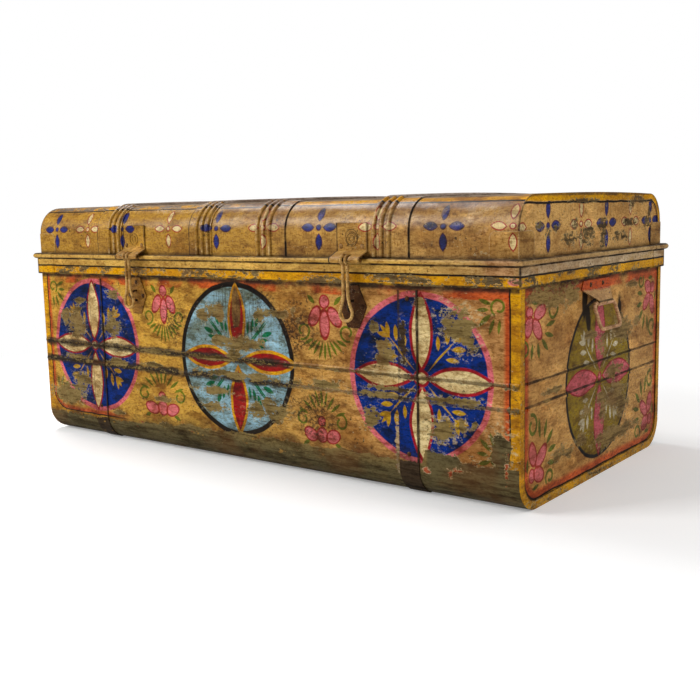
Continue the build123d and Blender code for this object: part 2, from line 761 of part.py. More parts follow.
with BuildPart() as hinge_pin:
    with BuildSketch(Plane.YZ.offset(hinge_start - hinge_pin_overhang)):
        with Locations(hinge_centre):
            Circle(hinge_pin_radius)
    extrude(amount=hinge_width + 2 * hinge_pin_overhang)
save(hinge_pin, "hinge_pin_right")
save_mirrored(hinge_pin, "hinge_pin_left", Plane.YZ)

# Rivet heads that fasten pieces to the body
strap_face = body_half_y + strap_thickness
strap_rivets = (strap_top - strap_rivet_drop, strap_low_rivet)
body_rivet_planes = []
for x in strap_places.values():
    for z in strap_rivets:
        body_rivet_planes.append(front_plane(x, -strap_face, z))
        body_rivet_planes.append(back_plane(x, strap_face, z))
plate_face = body_half_y + staple_plate_thickness
leaf_face = body_half_y + hinge_thickness
flap_face = wrap_half_x + handle_plate_thickness
for side in (-1, 1):
    x = side * hasp_x
    body_rivet_planes.append(front_plane(x, -plate_face, staple_top_z - staple_rivet_drop))
    for across in (-staple_rivet_x, staple_rivet_x):
        body_rivet_planes.append(front_plane(x + across, -plate_face, staple_z))
    for drop in hinge_low_rivet_drops:
        for across in (-hinge_rivet_x, hinge_rivet_x):
            body_rivet_planes.append(back_plane(side * hinge_x + across, leaf_face, hinge_pin_z - drop))
    for across in (-handle_rivet_y, handle_rivet_y):
        rivet_z = handle_pivot_z + handle_rivet_rise
        body_rivet_planes.append(end_plane(side, flap_face, handle_y + across, rivet_z))
with BuildPart() as body_rivets:
    with Locations(*body_rivet_planes):
        rivet_heads()
save(body_rivets, "body_rivets")

# Rivet heads that fasten pieces to the lid
lid_rivet_planes = []
hasp_face = lid_half_y + hasp_plate_thickness
lid_leaf_face = skirt_half_y + hinge_thickness
for side in (-1, 1):
    for across in (-hasp_rivet_x, hasp_rivet_x):
        rivet_z = skirt_top + hasp_rivet_rise
        lid_rivet_planes.append(front_plane(side * hasp_x + across, -hasp_face, rivet_z))
    for across in (-hinge_rivet_x, 0, hinge_rivet_x):
        rivet_z = hinge_pin_z + hinge_high_rivet_rise
        lid_rivet_planes.append(back_plane(side * hinge_x + across, lid_leaf_face, rivet_z))
with BuildPart() as lid_rivets:
    with Locations(*lid_rivet_planes):
        rivet_heads()
save(lid_rivets, "lid_rivets")
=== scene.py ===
# %% [markdown]
# # A painted sheet-iron travelling chest
# The chest is a tray of thin iron sheet with a hinged lid, painted by hand with roundels and
# flowers and then used for many years. What is left to do here is the painting and its wear,
# and a plain studio to show the chest in.
#
# Brush strokes are a few millimetres wide, so everything painted is measured in millimetres.
# Lamps, floor and camera are placed in metres, which is what Blender works in.

import math

import bpy
from mathutils import Matrix, Vector

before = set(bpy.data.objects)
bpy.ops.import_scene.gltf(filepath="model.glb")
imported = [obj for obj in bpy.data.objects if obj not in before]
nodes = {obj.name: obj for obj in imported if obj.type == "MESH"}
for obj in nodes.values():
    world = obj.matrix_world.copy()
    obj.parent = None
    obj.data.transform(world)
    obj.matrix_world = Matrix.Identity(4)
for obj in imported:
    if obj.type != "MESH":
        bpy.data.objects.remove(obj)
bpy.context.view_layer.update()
bpy.ops.object.select_all(action="DESELECT")
print("pieces loaded:", len(nodes))

# %% [markdown]
# ## Measures of the metal
# The painting follows the edges, ridges and bends of the sheets. How far the walls and ends
# reach is measured on the pieces themselves. A bend can't be read off a piece's box, so the
# radii of the bends and the heights of the ridges are written down here.

# %% Measures in millimetres
def reach_of(name, axis):
    """How far a piece reaches from the middle of the chest along an axis (0 is X, 1 is Y)."""
    return round(max(corner[axis] for corner in nodes[name].bound_box) * 1000, 1)


BODY_END = reach_of("body_seam_right", 0)
BODY_WALL = reach_of("body_seam_right", 1)
BODY_BEND = 45.0  # outer radius of the lower corners
BODY_FLAT = round(BODY_WALL - BODY_BEND, 1)  # the base is flat as far as this
RIDGES = (139.0, 173.5)  # heights of the two swaged ridges
STRAPS = (-343.0, 325.0)  # where the middle of each strap lies along the chest
SKIRT_SHADOW_Z = (289, 295)  # heights over which the body is darkened as painted shadow under the lid's skirt

LID_WALL = reach_of("lid_seam_right", 1)
LID_BEND = 46.0  # outer radius of the shoulders
LID_FLAT = round(LID_WALL - LID_BEND, 1)  # the top runs as far as this
LID_FOOT = 335.0  # height of the top of the bead, where the lid's wall starts
LID_BEND_Z = 371.0  # height where the wall ends and the shoulder starts
LID_CAMBER = 2.4  # rise of the top from the shoulders to the middle
HASP_X = 232.0
print("body", 2 * BODY_END, "by", 2 * BODY_WALL, "mm, and its base is flat for", 2 * BODY_FLAT)

# %% [markdown]
# ## Writing node trees as sums
# A painted pattern is a lot of small arithmetic on the position of a point. Blender draws
# that as hundreds of nodes, which are slow to place by hand, so a small wrapper lets a sum
# in Python become a Math node. What reaches the material is still ordinary shader nodes,
# and a sum can be read in one line where the node editor would show a page of wires.

# %% A wire is a node's output that can be added, multiplied and compared
class Wire:
    """The output of one node, which can take part in a sum."""

    def __init__(self, tree, socket):
        self.tree = tree
        self.socket = socket

    def __add__(self, other):
        return calc("ADD", self, other)

    def __radd__(self, other):
        return calc("ADD", other, self)

    def __sub__(self, other):
        return calc("SUBTRACT", self, other)

    def __rsub__(self, other):
        return calc("SUBTRACT", other, self)

    def __mul__(self, other):
        return calc("MULTIPLY", self, other)

    def __rmul__(self, other):
        return calc("MULTIPLY", other, self)

    def __truediv__(self, other):
        return calc("DIVIDE", self, other)

    def __rtruediv__(self, other):
        return calc("DIVIDE", other, self)

    def __neg__(self):
        return calc("MULTIPLY", self, -1.0)


def plug(tree, socket, value):
    """Connect a wire to a socket, or set a plain number or colour on it."""
    if isinstance(value, Wire):
        tree.links.new(value.socket, socket)
    elif value is not None:
        if socket.type == "RGBA" and len(value) == 3:
            value = (*value, 1.0)
        socket.default_value = value


def calc(operation, *values):
    """One Math node."""
    tree = next(v.tree for v in values if isinstance(v, Wire))
    node = tree.nodes.new("ShaderNodeMath")
    node.operation = operation
    for socket, value in zip(node.inputs, values):
        plug(tree, socket, value)
    return Wire(tree, node.outputs[0])


def vector_calc(operation, *values, scale=None):
    """One Vector Math node."""
    tree = next(v.tree for v in values if isinstance(v, Wire))
    node = tree.nodes.new("ShaderNodeVectorMath")
    node.operation = operation
    for socket, value in zip(node.inputs, values):
        plug(tree, socket, value)
    if scale is not None:
        plug(tree, node.inputs["Scale"], scale)
    out = "Value" if operation in ("LENGTH", "DOT_PRODUCT", "DISTANCE") else "Vector"
    return Wire(tree, node.outputs[out])


def lowest(*values):
    """The smallest of several wires or numbers."""
    result = values[0]
    for value in values[1:]:
        result = calc("MINIMUM", result, value)
    return result


def highest(*values):
    """The largest of several wires or numbers."""
    result = values[0]
    for value in values[1:]:
        result = calc("MAXIMUM", result, value)
    return result


def absolute(value):
    """The size of a number without its sign."""
    return calc("ABSOLUTE", value)


print("sums of wires ready")

# %% [markdown]
# ## Edges, mixes and places
# A stroke ends where a distance passes nought. A smooth step there gives a clean edge that
# is still soft enough not to flicker, and it is the one brush that every motif is made with.
# Mix nodes then lay one colour over another, as the painter did.

# %% Steps and mixes
def rise(value, low, high):
    """0 below low, 1 above high, and a smooth rise between them. High may be below low."""
    tree = value.tree
    node = tree.nodes.new("ShaderNodeMapRange")
    node.interpolation_type = "SMOOTHSTEP"
    node.clamp = False
    plug(tree, node.inputs["Value"], value)
    if not isinstance(low, Wire) and not isinstance(high, Wire) and high < low:
        node.inputs["From Min"].default_value = high
        node.inputs["From Max"].default_value = low
        node.inputs["To Min"].default_value = 1.0
        node.inputs["To Max"].default_value = 0.0
    else:
        plug(tree, node.inputs["From Min"], low)
        plug(tree, node.inputs["From Max"], high)
    return Wire(tree, node.outputs["Result"])


def inside(distance, soft=0.5):
    """1 where a signed distance in millimetres is below nought."""
    return rise(distance, soft, -soft)


def between(value, low, high, soft=0.5):
    """1 where a value lies between two limits."""
    return rise(value, low - soft, low + soft) * rise(value, high + soft, high - soft)


def blend(amount, below, above):
    """One Mix node for colours: below where amount is 0, above where it is 1."""
    tree = next(v.tree for v in (amount, below, above) if isinstance(v, Wire))
    node = tree.nodes.new("ShaderNodeMix")
    node.data_type = "RGBA"
    plug(tree, node.inputs[0], amount)
    plug(tree, node.inputs[6], below)
    plug(tree, node.inputs[7], above)
    return Wire(tree, node.outputs[2])


def tint(amount, colour, by):
    """Multiply a colour by another where amount is 1."""
    node = colour.tree.nodes.new("ShaderNodeMix")
    node.data_type = "RGBA"
    node.blend_type = "MULTIPLY"
    plug(colour.tree, node.inputs[0], amount)
    plug(colour.tree, node.inputs[6], colour)
    plug(colour.tree, node.inputs[7], by)
    return Wire(colour.tree, node.outputs[2])


# %% Splitting, joining and placing vectors
def split_xyz(vector):
    """The three parts of a vector."""
    node = vector.tree.nodes.new("ShaderNodeSeparateXYZ")
    plug(vector.tree, node.inputs[0], vector)
    return [Wire(vector.tree, out) for out in node.outputs]


def join_xyz(tree, x, y, z=0.0):
    """A vector from three wires or numbers."""
    node = tree.nodes.new("ShaderNodeCombineXYZ")
    for socket, value in zip(node.inputs, (x, y, z)):
        plug(tree, socket, value)
    return Wire(tree, node.outputs[0])


def place(vector, centre=(0, 0), angle=0.0, size=(1, 1)):
    """Coordinates seen from a shape's own centre, turned and scaled with it (one Mapping)."""
    node = vector.tree.nodes.new("ShaderNodeMapping")
    node.vector_type = "TEXTURE"
    plug(vector.tree, node.inputs["Vector"], vector)
    node.inputs["Location"].default_value = (centre[0], centre[1], 0)
    node.inputs["Rotation"].default_value = (0, 0, math.radians(angle))
    node.inputs["Scale"].default_value = (size[0], size[1], 1)
    return Wire(vector.tree, node.outputs[0])


# %% Noise in millimetres
def cloud(vector, size, detail=3.0, rough=0.55, stretch=(1, 1, 1), shift=0.0):
    """Noise whose lumps are about size millimetres, from 0 to 1. Shift moves to another part of it."""
    tree = vector.tree
    spread = tree.nodes.new("ShaderNodeVectorMath")
    spread.operation = "MULTIPLY_ADD"
    plug(tree, spread.inputs[0], vector)
    spread.inputs[1].default_value = [1.0 / (size * s) for s in stretch]
    spread.inputs[2].default_value = (shift, shift * 0.7, -shift)
    node = tree.nodes.new("ShaderNodeTexNoise")
    tree.links.new(spread.outputs[0], node.inputs["Vector"])
    node.inputs["Scale"].default_value = 1.0
    node.inputs["Detail"].default_value = detail
    node.inputs["Roughness"].default_value = rough
    return Wire(tree, node.outputs["Fac"])


print("steps, mixes, places and noise ready")

# %% [markdown]
# ## Groups
# A motif that comes back, or an effect that several finishes share, is a node group with
# named inputs. It is built once and placed wherever it is needed, with other values.

# %% Node groups with named inputs and outputs
KINDS = {"value": "NodeSocketFloat", "vector": "NodeSocketVector", "colour": "NodeSocketColor"}


def open_group(name, inputs, outputs):
    """Start a node group. Inputs are name: (kind, value) and outputs are name: kind."""
    tree = bpy.data.node_groups.new(name, "ShaderNodeTree")
    for label, (kind, value) in inputs.items():
        socket = tree.interface.new_socket(label, in_out="INPUT", socket_type=KINDS[kind])
        if kind == "colour":
            value = (*value, 1.0)
        socket.default_value = value
    for label, kind in outputs.items():
        tree.interface.new_socket(label, in_out="OUTPUT", socket_type=KINDS[kind])
    start = tree.nodes.new("NodeGroupInput")
    wires = {out.name: Wire(tree, out) for out in start.outputs if out.name}
    return tree, wires


def close_group(tree, **results):
    """Connect the results to the group's outputs. Underscores stand for spaces."""
    end = tree.nodes.new("NodeGroupOutput")
    for label, value in results.items():
        plug(tree, end.inputs[label.replace("_", " ")], value)
    return tree


def use_group(tree, group, **values):
    """Place a group in a tree and return its outputs by name."""
    node = tree.nodes.new("ShaderNodeGroup")
    node.node_tree = group
    for label, value in values.items():
        plug(tree, node.inputs[label.replace("_", " ")], value)
    return {out.name: Wire(tree, out) for out in node.outputs}


print("kinds of group socket:", ", ".join(KINDS))

# %% [markdown]
# ## The palette
# The painter mixed a few strong enamels. They are written as screen values from 0 to 255
# and turned into the linear values that shaders use.

# %% Enamels and bare iron
def screen(red, green, blue):
    """Linear colour from screen values."""
    parts = [value / 255 for value in (red, green, blue)]
    return tuple(part / 12.92 if part < 0.0405 else ((part + 0.055) / 1.055) ** 2.4 for part in parts)


OCHRE = screen(214, 170, 68)
PALE_OCHRE = screen(208, 158, 96)
BUFF = screen(224, 174, 98)
LID_OCHRE = screen(194, 150, 60)
PALE_LID_OCHRE = screen(204, 162, 92)
LID_END_BUFF = screen(230, 184, 110)
LID_TOP_BROWN = screen(162, 130, 88)
LID_YELLOW = screen(226, 166, 0)
LID_END_YELLOW = screen(232, 172, 0)
RIM_YELLOW = screen(230, 170, 0)
LID_BLUE = screen(0, 46, 146)
VIOLET = screen(70, 40, 84)
SPRIG_GOLD = screen(198, 158, 22)
DEEP_BLUE = screen(0, 48, 143)
SKY_BLUE = screen(144, 188, 210)
PINK = screen(232, 118, 132)
ROSE = screen(222, 104, 118)
DARK_RED = screen(168, 24, 20)
CRIMSON = screen(172, 24, 40)
CREAM = screen(240, 222, 166)
YELLOW = screen(226, 168, 6)
ORANGE = screen(214, 92, 34)
LEAF = screen(98, 122, 20)
TEAL = screen(6, 126, 86)
OLIVE = screen(156, 130, 2)
CHALK = screen(228, 224, 200)
INK = screen(34, 27, 22)
BARE = screen(140, 118, 68)
BARE_DARK = screen(104, 92, 58)
RUST = screen(118, 70, 32)
BODY_INSIDE = screen(120, 112, 96)
LID_INSIDE = screen(126, 114, 92)
print("enamels mixed")

# %% [markdown]
# ## Brushed shapes
# Every motif is built from three strokes: a petal pointed at both ends, a round dab, and a
# curl that winds once round. Each gives a signed distance in millimetres, which is below
# nought inside the stroke, so an outline is simply a thin range of distances.

# %% Petal, dab and curl
def petal(at, centre, angle, half_length, half_width):
    """Signed distance to a petal that is pointed at both ends."""
    radius = (half_length**2 + half_width**2) / (2 * half_width)
    local = vector_calc("ABSOLUTE", place(at, centre, angle))
    moved = vector_calc("ADD", local, (0, radius - half_width, 0))
    return vector_calc("LENGTH", moved) - radius


def dab(at, centre, half_x, half_y, angle=0.0):
    """Signed distance to a round or oval dab."""
    local = place(at, centre, angle, (half_x, half_y))
    return (vector_calc("LENGTH", local) - 1.0) * min(half_x, half_y)


def curl(at, centre, radius, half_width, angle=0.0):
    """Signed distance to a curl, a ring that winds outwards from 0.4 to about 1 of its radius."""
    local = place(at, centre, angle)
    x, y, _ = split_xyz(local)
    turn = calc("ARCTAN2", y, x)
    reach = calc("MULTIPLY_ADD", turn, radius * 0.1, radius * 0.72)
    return absolute(vector_calc("LENGTH", local) - reach) - half_width


print("brushes ready: petal, dab, curl")

# %% [markdown]
# ## Roundel
# A roundel is a ring, a field, four petals and a sprig in each quarter. The painter repeats
# it with other colours, so it is one group with the colours as inputs. Folding the quarter
# with the larger and the smaller of the two coordinates draws all four petals at once.

# %% Roundel
ROUNDEL_RADIUS = 118.0


def make_roundel():
    """Four-petalled roundel about the origin, in millimetres."""
    tree, w = open_group(
        "roundel",
        {
            "At": ("vector", (0, 0, 0)),
            "Ring": ("colour", PINK),
            "Field": ("colour", DEEP_BLUE),
            "Petal": ("colour", CREAM),
            "Outline": ("colour", CRIMSON),
            "Sprig": ("colour", YELLOW),
            "Ring Width": ("value", 8.0),
            "Outline Width": ("value", 3.2),
            "Heart": ("value", 10.0),
            "Sprig Strength": ("value", 1.0),
            "Shift": ("value", 0.0),
            "Fan": ("value", 0.0),
        },
        {"Colour": "colour", "Cover": "value"},
    )
    reach = vector_calc("LENGTH", w["At"]) - ROUNDEL_RADIUS
    moved = vector_calc("ADD", w["At"], join_xyz(tree, -w["Shift"], 0.0))
    x, y, _ = split_xyz(vector_calc("ABSOLUTE", moved))
    folded = join_xyz(tree, highest(x, y), lowest(x, y))
    leaf = petal(folded, (63, 0), 0, 55, 19)
    heart = vector_calc("LENGTH", moved) - w["Heart"]
    leaf = lowest(leaf, heart)
    heart_line = absolute(heart + 1.5) - 1.2
    sprig = lowest(
        petal(folded, (59, 42), 4, 11, 4.0),
        petal(folded, (49, 27), -3, 10, 3.4),
        petal(folded, (62, 56), 10, 12, 3.8),
        petal(folded, (60, 60), 45, 12, 3.2),
        petal(folded, (31, 31), 45, 29, 1.5),
    )
    fan = lowest(
        petal(folded, (49, 23), 6, 10, 2.6),
        petal(folded, (53, 32), 12, 11, 3.2),
        petal(folded, (61, 42), 20, 11, 3.9),
        petal(folded, (44, 42), 45, 27, 1.5),
    )
    sprig = sprig + w["Fan"] * (fan - sprig)
    colour = blend(inside(reach + w["Ring Width"], 0.8), w["Ring"], w["Field"])
    colour = blend(inside(sprig, 0.6) * w["Sprig Strength"], colour, w["Sprig"])
    colour = blend(inside(leaf, 0.6), colour, w["Outline"])
    colour = blend(inside(leaf + w["Outline Width"], 0.6), colour, w["Petal"])
    colour = blend(inside(heart_line, 0.6) * rise(w["Heart"], 0.5, 1.0), colour, w["Outline"])
    return close_group(tree, Colour=colour, Cover=inside(reach, 0.8))


roundel = make_roundel()
print("roundel nodes:", len(roundel.nodes))

# %% [markdown]
# ## Flowers
# The pink flowers of the body are dabs with a crimson line just inside their edges, and
# green strokes around them. They share their colours and the way they are filled in. Where
# a flower is the same on both sides, only its right half is drawn, on the size of X without
# its sign, and the left half follows by itself.

# %% What the pink flowers share
FLOWER_INPUTS = {
    "At": ("vector", (0, 0, 0)),
    "Petal": ("colour", PINK),
    "Line": ("colour", CRIMSON),
    "Leaf": ("colour", LEAF),
}


def fill_flower(tree, w, parts, leaves, line_inset, half_line):
    """Fill the parts of a flower, draw a line inside the edge of each, and add the leaves."""
    flower = lowest(*parts)
    lines = lowest(*[absolute(part + line_inset) for part in parts]) - half_line
    colour = blend(inside(flower), w["Leaf"], w["Petal"])
    colour = blend(inside(lines), colour, w["Line"])
    cover = highest(inside(flower), inside(leaves))
    return close_group(tree, Colour=colour, Cover=cover)


# %% Hanging flower, posy and corner sprig
def make_hanging_flower():
    """Pink flower that hangs from a bud, with a fan of leaves and two curls below it."""
    tree, w = open_group("hanging_flower", FLOWER_INPUTS, {"Colour": "colour", "Cover": "value"})
    x, y, _ = split_xyz(w["At"])
    folded = join_xyz(tree, absolute(x), y)
    bud = dab(folded, (0, 0), 9.5, 10.5)
    tongue = dab(folded, (0, -33), 9.5, 24)
    wing = dab(folded, (17.5, -22), 10, 18, 30)
    leaves = lowest(
        petal(folded, (23, 3), 50, 9, 3.6),
        petal(folded, (0, -73), 90, 14, 2.2),
        petal(folded, (7, -72), -76, 14, 2.0),
        petal(folded, (14, -68), -60, 13, 2.2),
        petal(folded, (21, -65), -44, 12, 2.4),
        petal(folded, (28, -60), -26, 10, 2.6),
        curl(folded, (38, -44), 13, 1.7, 110),
    )
    return fill_flower(tree, w, (bud, tongue, wing), leaves, 1.1, 1.2)


def make_posy():
    """Three pink petals and a knob under a fan of leaves, with a curl on each side."""
    tree, w = open_group("posy", FLOWER_INPUTS, {"Colour": "colour", "Cover": "value"})
    x, y, _ = split_xyz(w["At"])
    folded = join_xyz(tree, absolute(x), y)
    middle = dab(folded, (0, -2), 11, 13)
    side = dab(folded, (21, -3), 15, 11, 24)
    knob = dab(folded, (0, 19), 7.5, 8)
    leaves = lowest(
        petal(folded, (0, 54), 90, 15, 2.2),
        petal(folded, (8, 52), 74, 14, 2.0),
        petal(folded, (17, 47), 56, 13, 2.2),
        petal(folded, (26, 41), 38, 12, 2.4),
        petal(folded, (35, 32), 20, 10, 2.4),
        curl(folded, (36, 20), 12, 1.8, -60),
        petal(folded, (30, -16), -30, 8, 3.0),
    )
    return fill_flower(tree, w, (middle, side, knob), leaves, 1.1, 1.1)


def make_corner_sprig():
    """Loose fan of green strokes that points away from a corner."""
    tree, w = open_group("corner_sprig", {"At": ("vector", (0, 0, 0))}, {"Cover": "value"})
    at = w["At"]
    strokes = lowest(
        petal(at, (-18, 12), -20, 10, 3.2),
        petal(at, (-21, 1), 4, 9, 3.0),
        petal(at, (-17, -12), 42, 12, 3.4),
        petal(at, (-7, -20), 72, 11, 2.8),
        petal(at, (4, -20), 84, 10, 2.4),
        curl(at, (3, 6), 12, 1.8, 60),
    )
    return close_group(tree, Cover=inside(strokes, 0.7))


hanging_flower = make_hanging_flower()
posy = make_posy()
corner_sprig = make_corner_sprig()
print("flowers of the front:", hanging_flower.name, posy.name, corner_sprig.name)

# %% End flower and lid flower
def make_end_posy():
    """Pink flower with curls, set in a corner of the end panel."""
    tree, w = open_group("end_posy", FLOWER_INPUTS, {"Colour": "colour", "Cover": "value"})
    at = w["At"]
    petals = (
        dab(at, (-13, 14), 11, 19, 16),
        dab(at, (11, 7), 11, 21, -52),
        dab(at, (-15, -15), 9.5, 10.5),
        dab(at, (5, -17), 12, 17, 66),
    )
    leaves = lowest(
        petal(at, (-28, 0), 84, 10, 3.2),
        petal(at, (37, 29), 44, 14, 4.2),
        petal(at, (44, 11), 10, 13, 4.0),
        petal(at, (42, -8), -8, 12, 3.8),
        petal(at, (24, 42), 74, 14, 3.8),
        petal(at, (7, 46), 98, 15, 3.8),
        petal(at, (-4, -33), 6, 9, 3.2),
        curl(at, (-14, 52), 15, 2.6, -70),
        curl(at, (38, -28), 12, 2.2, 40),
    )
    return fill_flower(tree, w, petals, leaves, 1.2, 1.2)


def make_lid_flower():
    """Small flower of four separate petals and a middle dab."""
    tree, w = open_group(
        "lid_flower",
        {
            "At": ("vector", (0, 0, 0)),
            "Fill": ("colour", DEEP_BLUE),
            "Line": ("colour", CRIMSON),
            "Size": ("value", 1.0),
        },
        {"Colour": "colour", "Cover": "value"},
    )
    local = vector_calc("SCALE", w["At"], scale=1.0 / w["Size"])
    x, y, _ = split_xyz(vector_calc("ABSOLUTE", local))
    folded = join_xyz(tree, highest(x, y), lowest(x, y))
    leaf = lowest(petal(folded, (20.5, 0), 0, 12.5, 6.4), dab(local, (0, 0), 5.0, 4.4))
    colour = blend(inside(leaf + 1.7), w["Line"], w["Fill"])
    return close_group(tree, Colour=colour, Cover=inside(leaf))


end_posy = make_end_posy()
lid_flower = make_lid_flower()
print("motif groups:", len(bpy.data.node_groups))

# %% [markdown]
# ## A hand that wobbles
# No stroke by hand is a true circle. Moving each point a millimetre or two by a slow noise
# before a motif is drawn bends all its lines together.

# %% Wobble
def make_wobble():
    """Move points by a slow noise, in millimetres."""
    tree, w = open_group(
        "hand_wobble",
        {"At": ("vector", (0, 0, 0)), "Amount": ("value", 3.0)},
        {"At": "vector"},
    )
    sideways = (cloud(w["At"], 46, 1.5) - 0.5) * w["Amount"]
    upwards = (cloud(w["At"], 46, 1.5, shift=40.0) - 0.5) * w["Amount"]
    push = join_xyz(tree, sideways * 2.0, upwards * 2.0)
    return close_group(tree, At=vector_calc("ADD", w["At"], push))


wobble = make_wobble()
print("wobble nodes:", len(wobble.nodes))

# %% [markdown]
# ## Old paint
# Enamel on a used iron chest ages in layers: dirt and brown varnish settle on it, small
# specks stick, it rubs thin in streaks along the sheet, and it chips down to brown iron.
# One group does this for every painted piece. "Bare" says where the paint has certainly
# gone, "Wear" how easily it goes elsewhere, and "Speckle" breaks a patch into small spots.
# Dirt works like a brown filter: it multiplies the paint under it and keeps its hue.

# %% Filters of age, and the colours of chips
BROWN_STAIN = (0.48, 0.35, 0.19)
BROWN_MOTTLE = (0.38, 0.28, 0.15)
DARK_GRAIN = (0.60, 0.50, 0.36)
RUBBED_THIN = (0.62, 0.52, 0.36)
RUBBED_PALE = (1.50, 1.48, 1.50)
OLD_VARNISH = (0.92, 0.88, 0.84)
IRON_STREAK = (0.48, 0.44, 0.36)
IRON_MOTTLE = (0.52, 0.47, 0.38)
IRON_GRAIN = (0.62, 0.58, 0.50)
SPECK = screen(50, 38, 24)
CHIP_LIP = screen(70, 52, 28)
FLAKE = screen(186, 170, 124)
# dark brown for soot and grime, and for painted shade
SOOT_AND_SHADE = screen(44, 33, 20)
print("filters of age mixed")


# %% Old paint group
def make_old_paint():
    """Dirt, stains, specks and chips over a paint colour."""
    tree, w = open_group(
        "old_paint",
        {
            "Paint": ("colour", OCHRE),
            "At": ("vector", (0, 0, 0)),
            "Bare": ("value", 0.0),
            "Wear": ("value", 0.4),
            "Dirt": ("value", 0.6),
            "Grime": ("value", 0.0),
            "Speckle": ("value", 0.24),
            "Metal": ("colour", BARE),
        },
        {"Colour": "colour", "Roughness": "value", "Metallic": "value", "Height": "value", "Chips": "value"},
    )
    at = w["At"]
    fine = cloud(at, 2.7, 5, 0.74, (2.2, 2.2, 1))
    ragged = cloud(at, 24, 8, 0.70, (1.5, 1.5, 1), 3.1)
    broad = cloud(at, 95, 4, 0.55, (1.2, 1.2, 1), 7.7)
    streaks = cloud(at, 7, 6, 0.72, (10, 10, 0.8), 5.3)
    spots = cloud(at, 4.6, 3, 0.6, (1.2, 1.2, 1), 2.2)
    # chips: where the noises agree, and wherever the bare mask says so
    level = ragged * 0.36 + streaks * 0.26 + fine * 0.50 + broad * 0.12
    level = level + (spots - 0.5) * w["Speckle"]
    limit = 0.85 - w["Wear"] * 0.16 - w["Bare"] * 0.25
    chips = rise(level - limit, -0.004, 0.008)
    lip = rise(level - limit, -0.022, -0.002) * (1.0 - chips)
    flakes = rise(level - limit, -0.050, -0.036) * (1.0 - chips) * rise(spots, 0.47, 0.54)
    # paint: brown varnish in stains and mottles, a dark grain, pale rubbed places and specks
    stain = rise(broad * 0.5 + ragged * 0.5, 0.44, 0.60) * w["Dirt"]
    colour = tint(stain, w["Paint"], BROWN_STAIN)
    mottle = rise(cloud(at, 15, 8, 0.72, (2.6, 2.6, 1), 23.0), 0.46, 0.64) * w["Dirt"]
    colour = tint(mottle, colour, BROWN_MOTTLE)
    grain = rise(fine, 0.54, 0.36)
    colour = tint(grain, colour, DARK_GRAIN)
    thin = rise(streaks, 0.52, 0.68) * w["Dirt"]
    colour = tint(thin * 0.8, colour, RUBBED_THIN)
    pale = rise(cloud(at, 30, 6, 0.68, (2.4, 2.4, 1), 11.0), 0.52, 0.68)
    colour = tint(pale * 0.7, colour, RUBBED_PALE)
    colour = tint(1.0, colour, OLD_VARNISH)
    crowd = rise(cloud(at, 50, 3, 0.6, (1, 1, 1), 17.0), 0.46, 0.60)
    colour = blend(rise(spots, 0.62, 0.66) * crowd * 0.85, colour, SPECK)
    colour = blend(lip * 0.5, colour, CHIP_LIP)
    colour = blend(flakes * 0.6, colour, FLAKE)
    # grime, and painted shade from the paintings, darken the paint towards soot brown
    grime_and_shade = lowest(w["Grime"] * (rise(ragged, 0.34, 0.56) * 0.5 + 0.5), 1.0)
    colour = blend(grime_and_shade, colour, SOOT_AND_SHADE)
    # iron: olive brown, brushed along the sheet, with darker and rusty clouds
    iron = tint(rise(streaks, 0.46, 0.62), w["Metal"], IRON_STREAK)
    iron = tint(mottle * 1.2, iron, IRON_MOTTLE)
    iron = tint(grain, iron, IRON_GRAIN)
    iron = blend(rise(broad, 0.52, 0.68) * 0.30, iron, RUST)
    colour = blend(chips, colour, iron)
    rough = 0.27 + thin * 0.10 + stain * 0.06 + mottle * 0.12 + chips * 0.14 + grime_and_shade * 0.30
    height = fine * 0.34 + ragged * 0.45 + mottle * 0.10
    metallic = chips * 0.12
    return close_group(tree, Colour=colour, Roughness=rough, Metallic=metallic, Height=height, Chips=chips)


old_paint = make_old_paint()
print("old paint nodes:", len(old_paint.nodes))

# %% [markdown]
# ## Dents
# A sheet only 1.2 mm thick is never flat. Broad shallow dents show in how the light bends
# over the walls, so the material of each sheet adds a very slow noise to its bump. Straps and
# plates are stiffer and get less of it or none.

# %% Dents group
def make_dents():
    """Height of broad dents in millimetres."""
    inputs = {"At": ("vector", (0, 0, 0)), "Depth": ("value", 1.0)}
    tree, w = open_group("dents", inputs, {"Height": "value"})
    broad = cloud(w["At"], 150, 1.0, 0.4, (1.3, 1.0, 1.0), 4.0)
    small = cloud(w["At"], 34, 1.0, 0.4, (1.6, 1.6, 1.0), 9.0)
    return close_group(tree, Height=(broad * 5.0 + small * 1.5) * w["Depth"])


dents = make_dents()
print("dents nodes:", len(dents.nodes))

# %% [markdown]
# ## Start and finish of a material
# Every material starts with the place of a point on its piece, which is the same for all the
# pieces of the chest, and ends with the aged paint on a Principled BSDF. Between the two each
# material picks its painting and says how worn it is. Bare spots of an old enamel are not
# shiny, so the shader's specular level stays low.

# %% Start and finish of a material
MILLIMETRE = 0.001


def start_material(name):
    """New material: its tree, its shader and the point's place in millimetres."""
    material = bpy.data.materials.new(name)
    material.use_nodes = True
    tree = material.node_tree
    shader = tree.nodes["Principled BSDF"]
    coordinate = tree.nodes.new("ShaderNodeTexCoord")
    at = vector_calc("SCALE", Wire(tree, coordinate.outputs["Object"]), scale=1000.0)
    return material, tree, shader, at


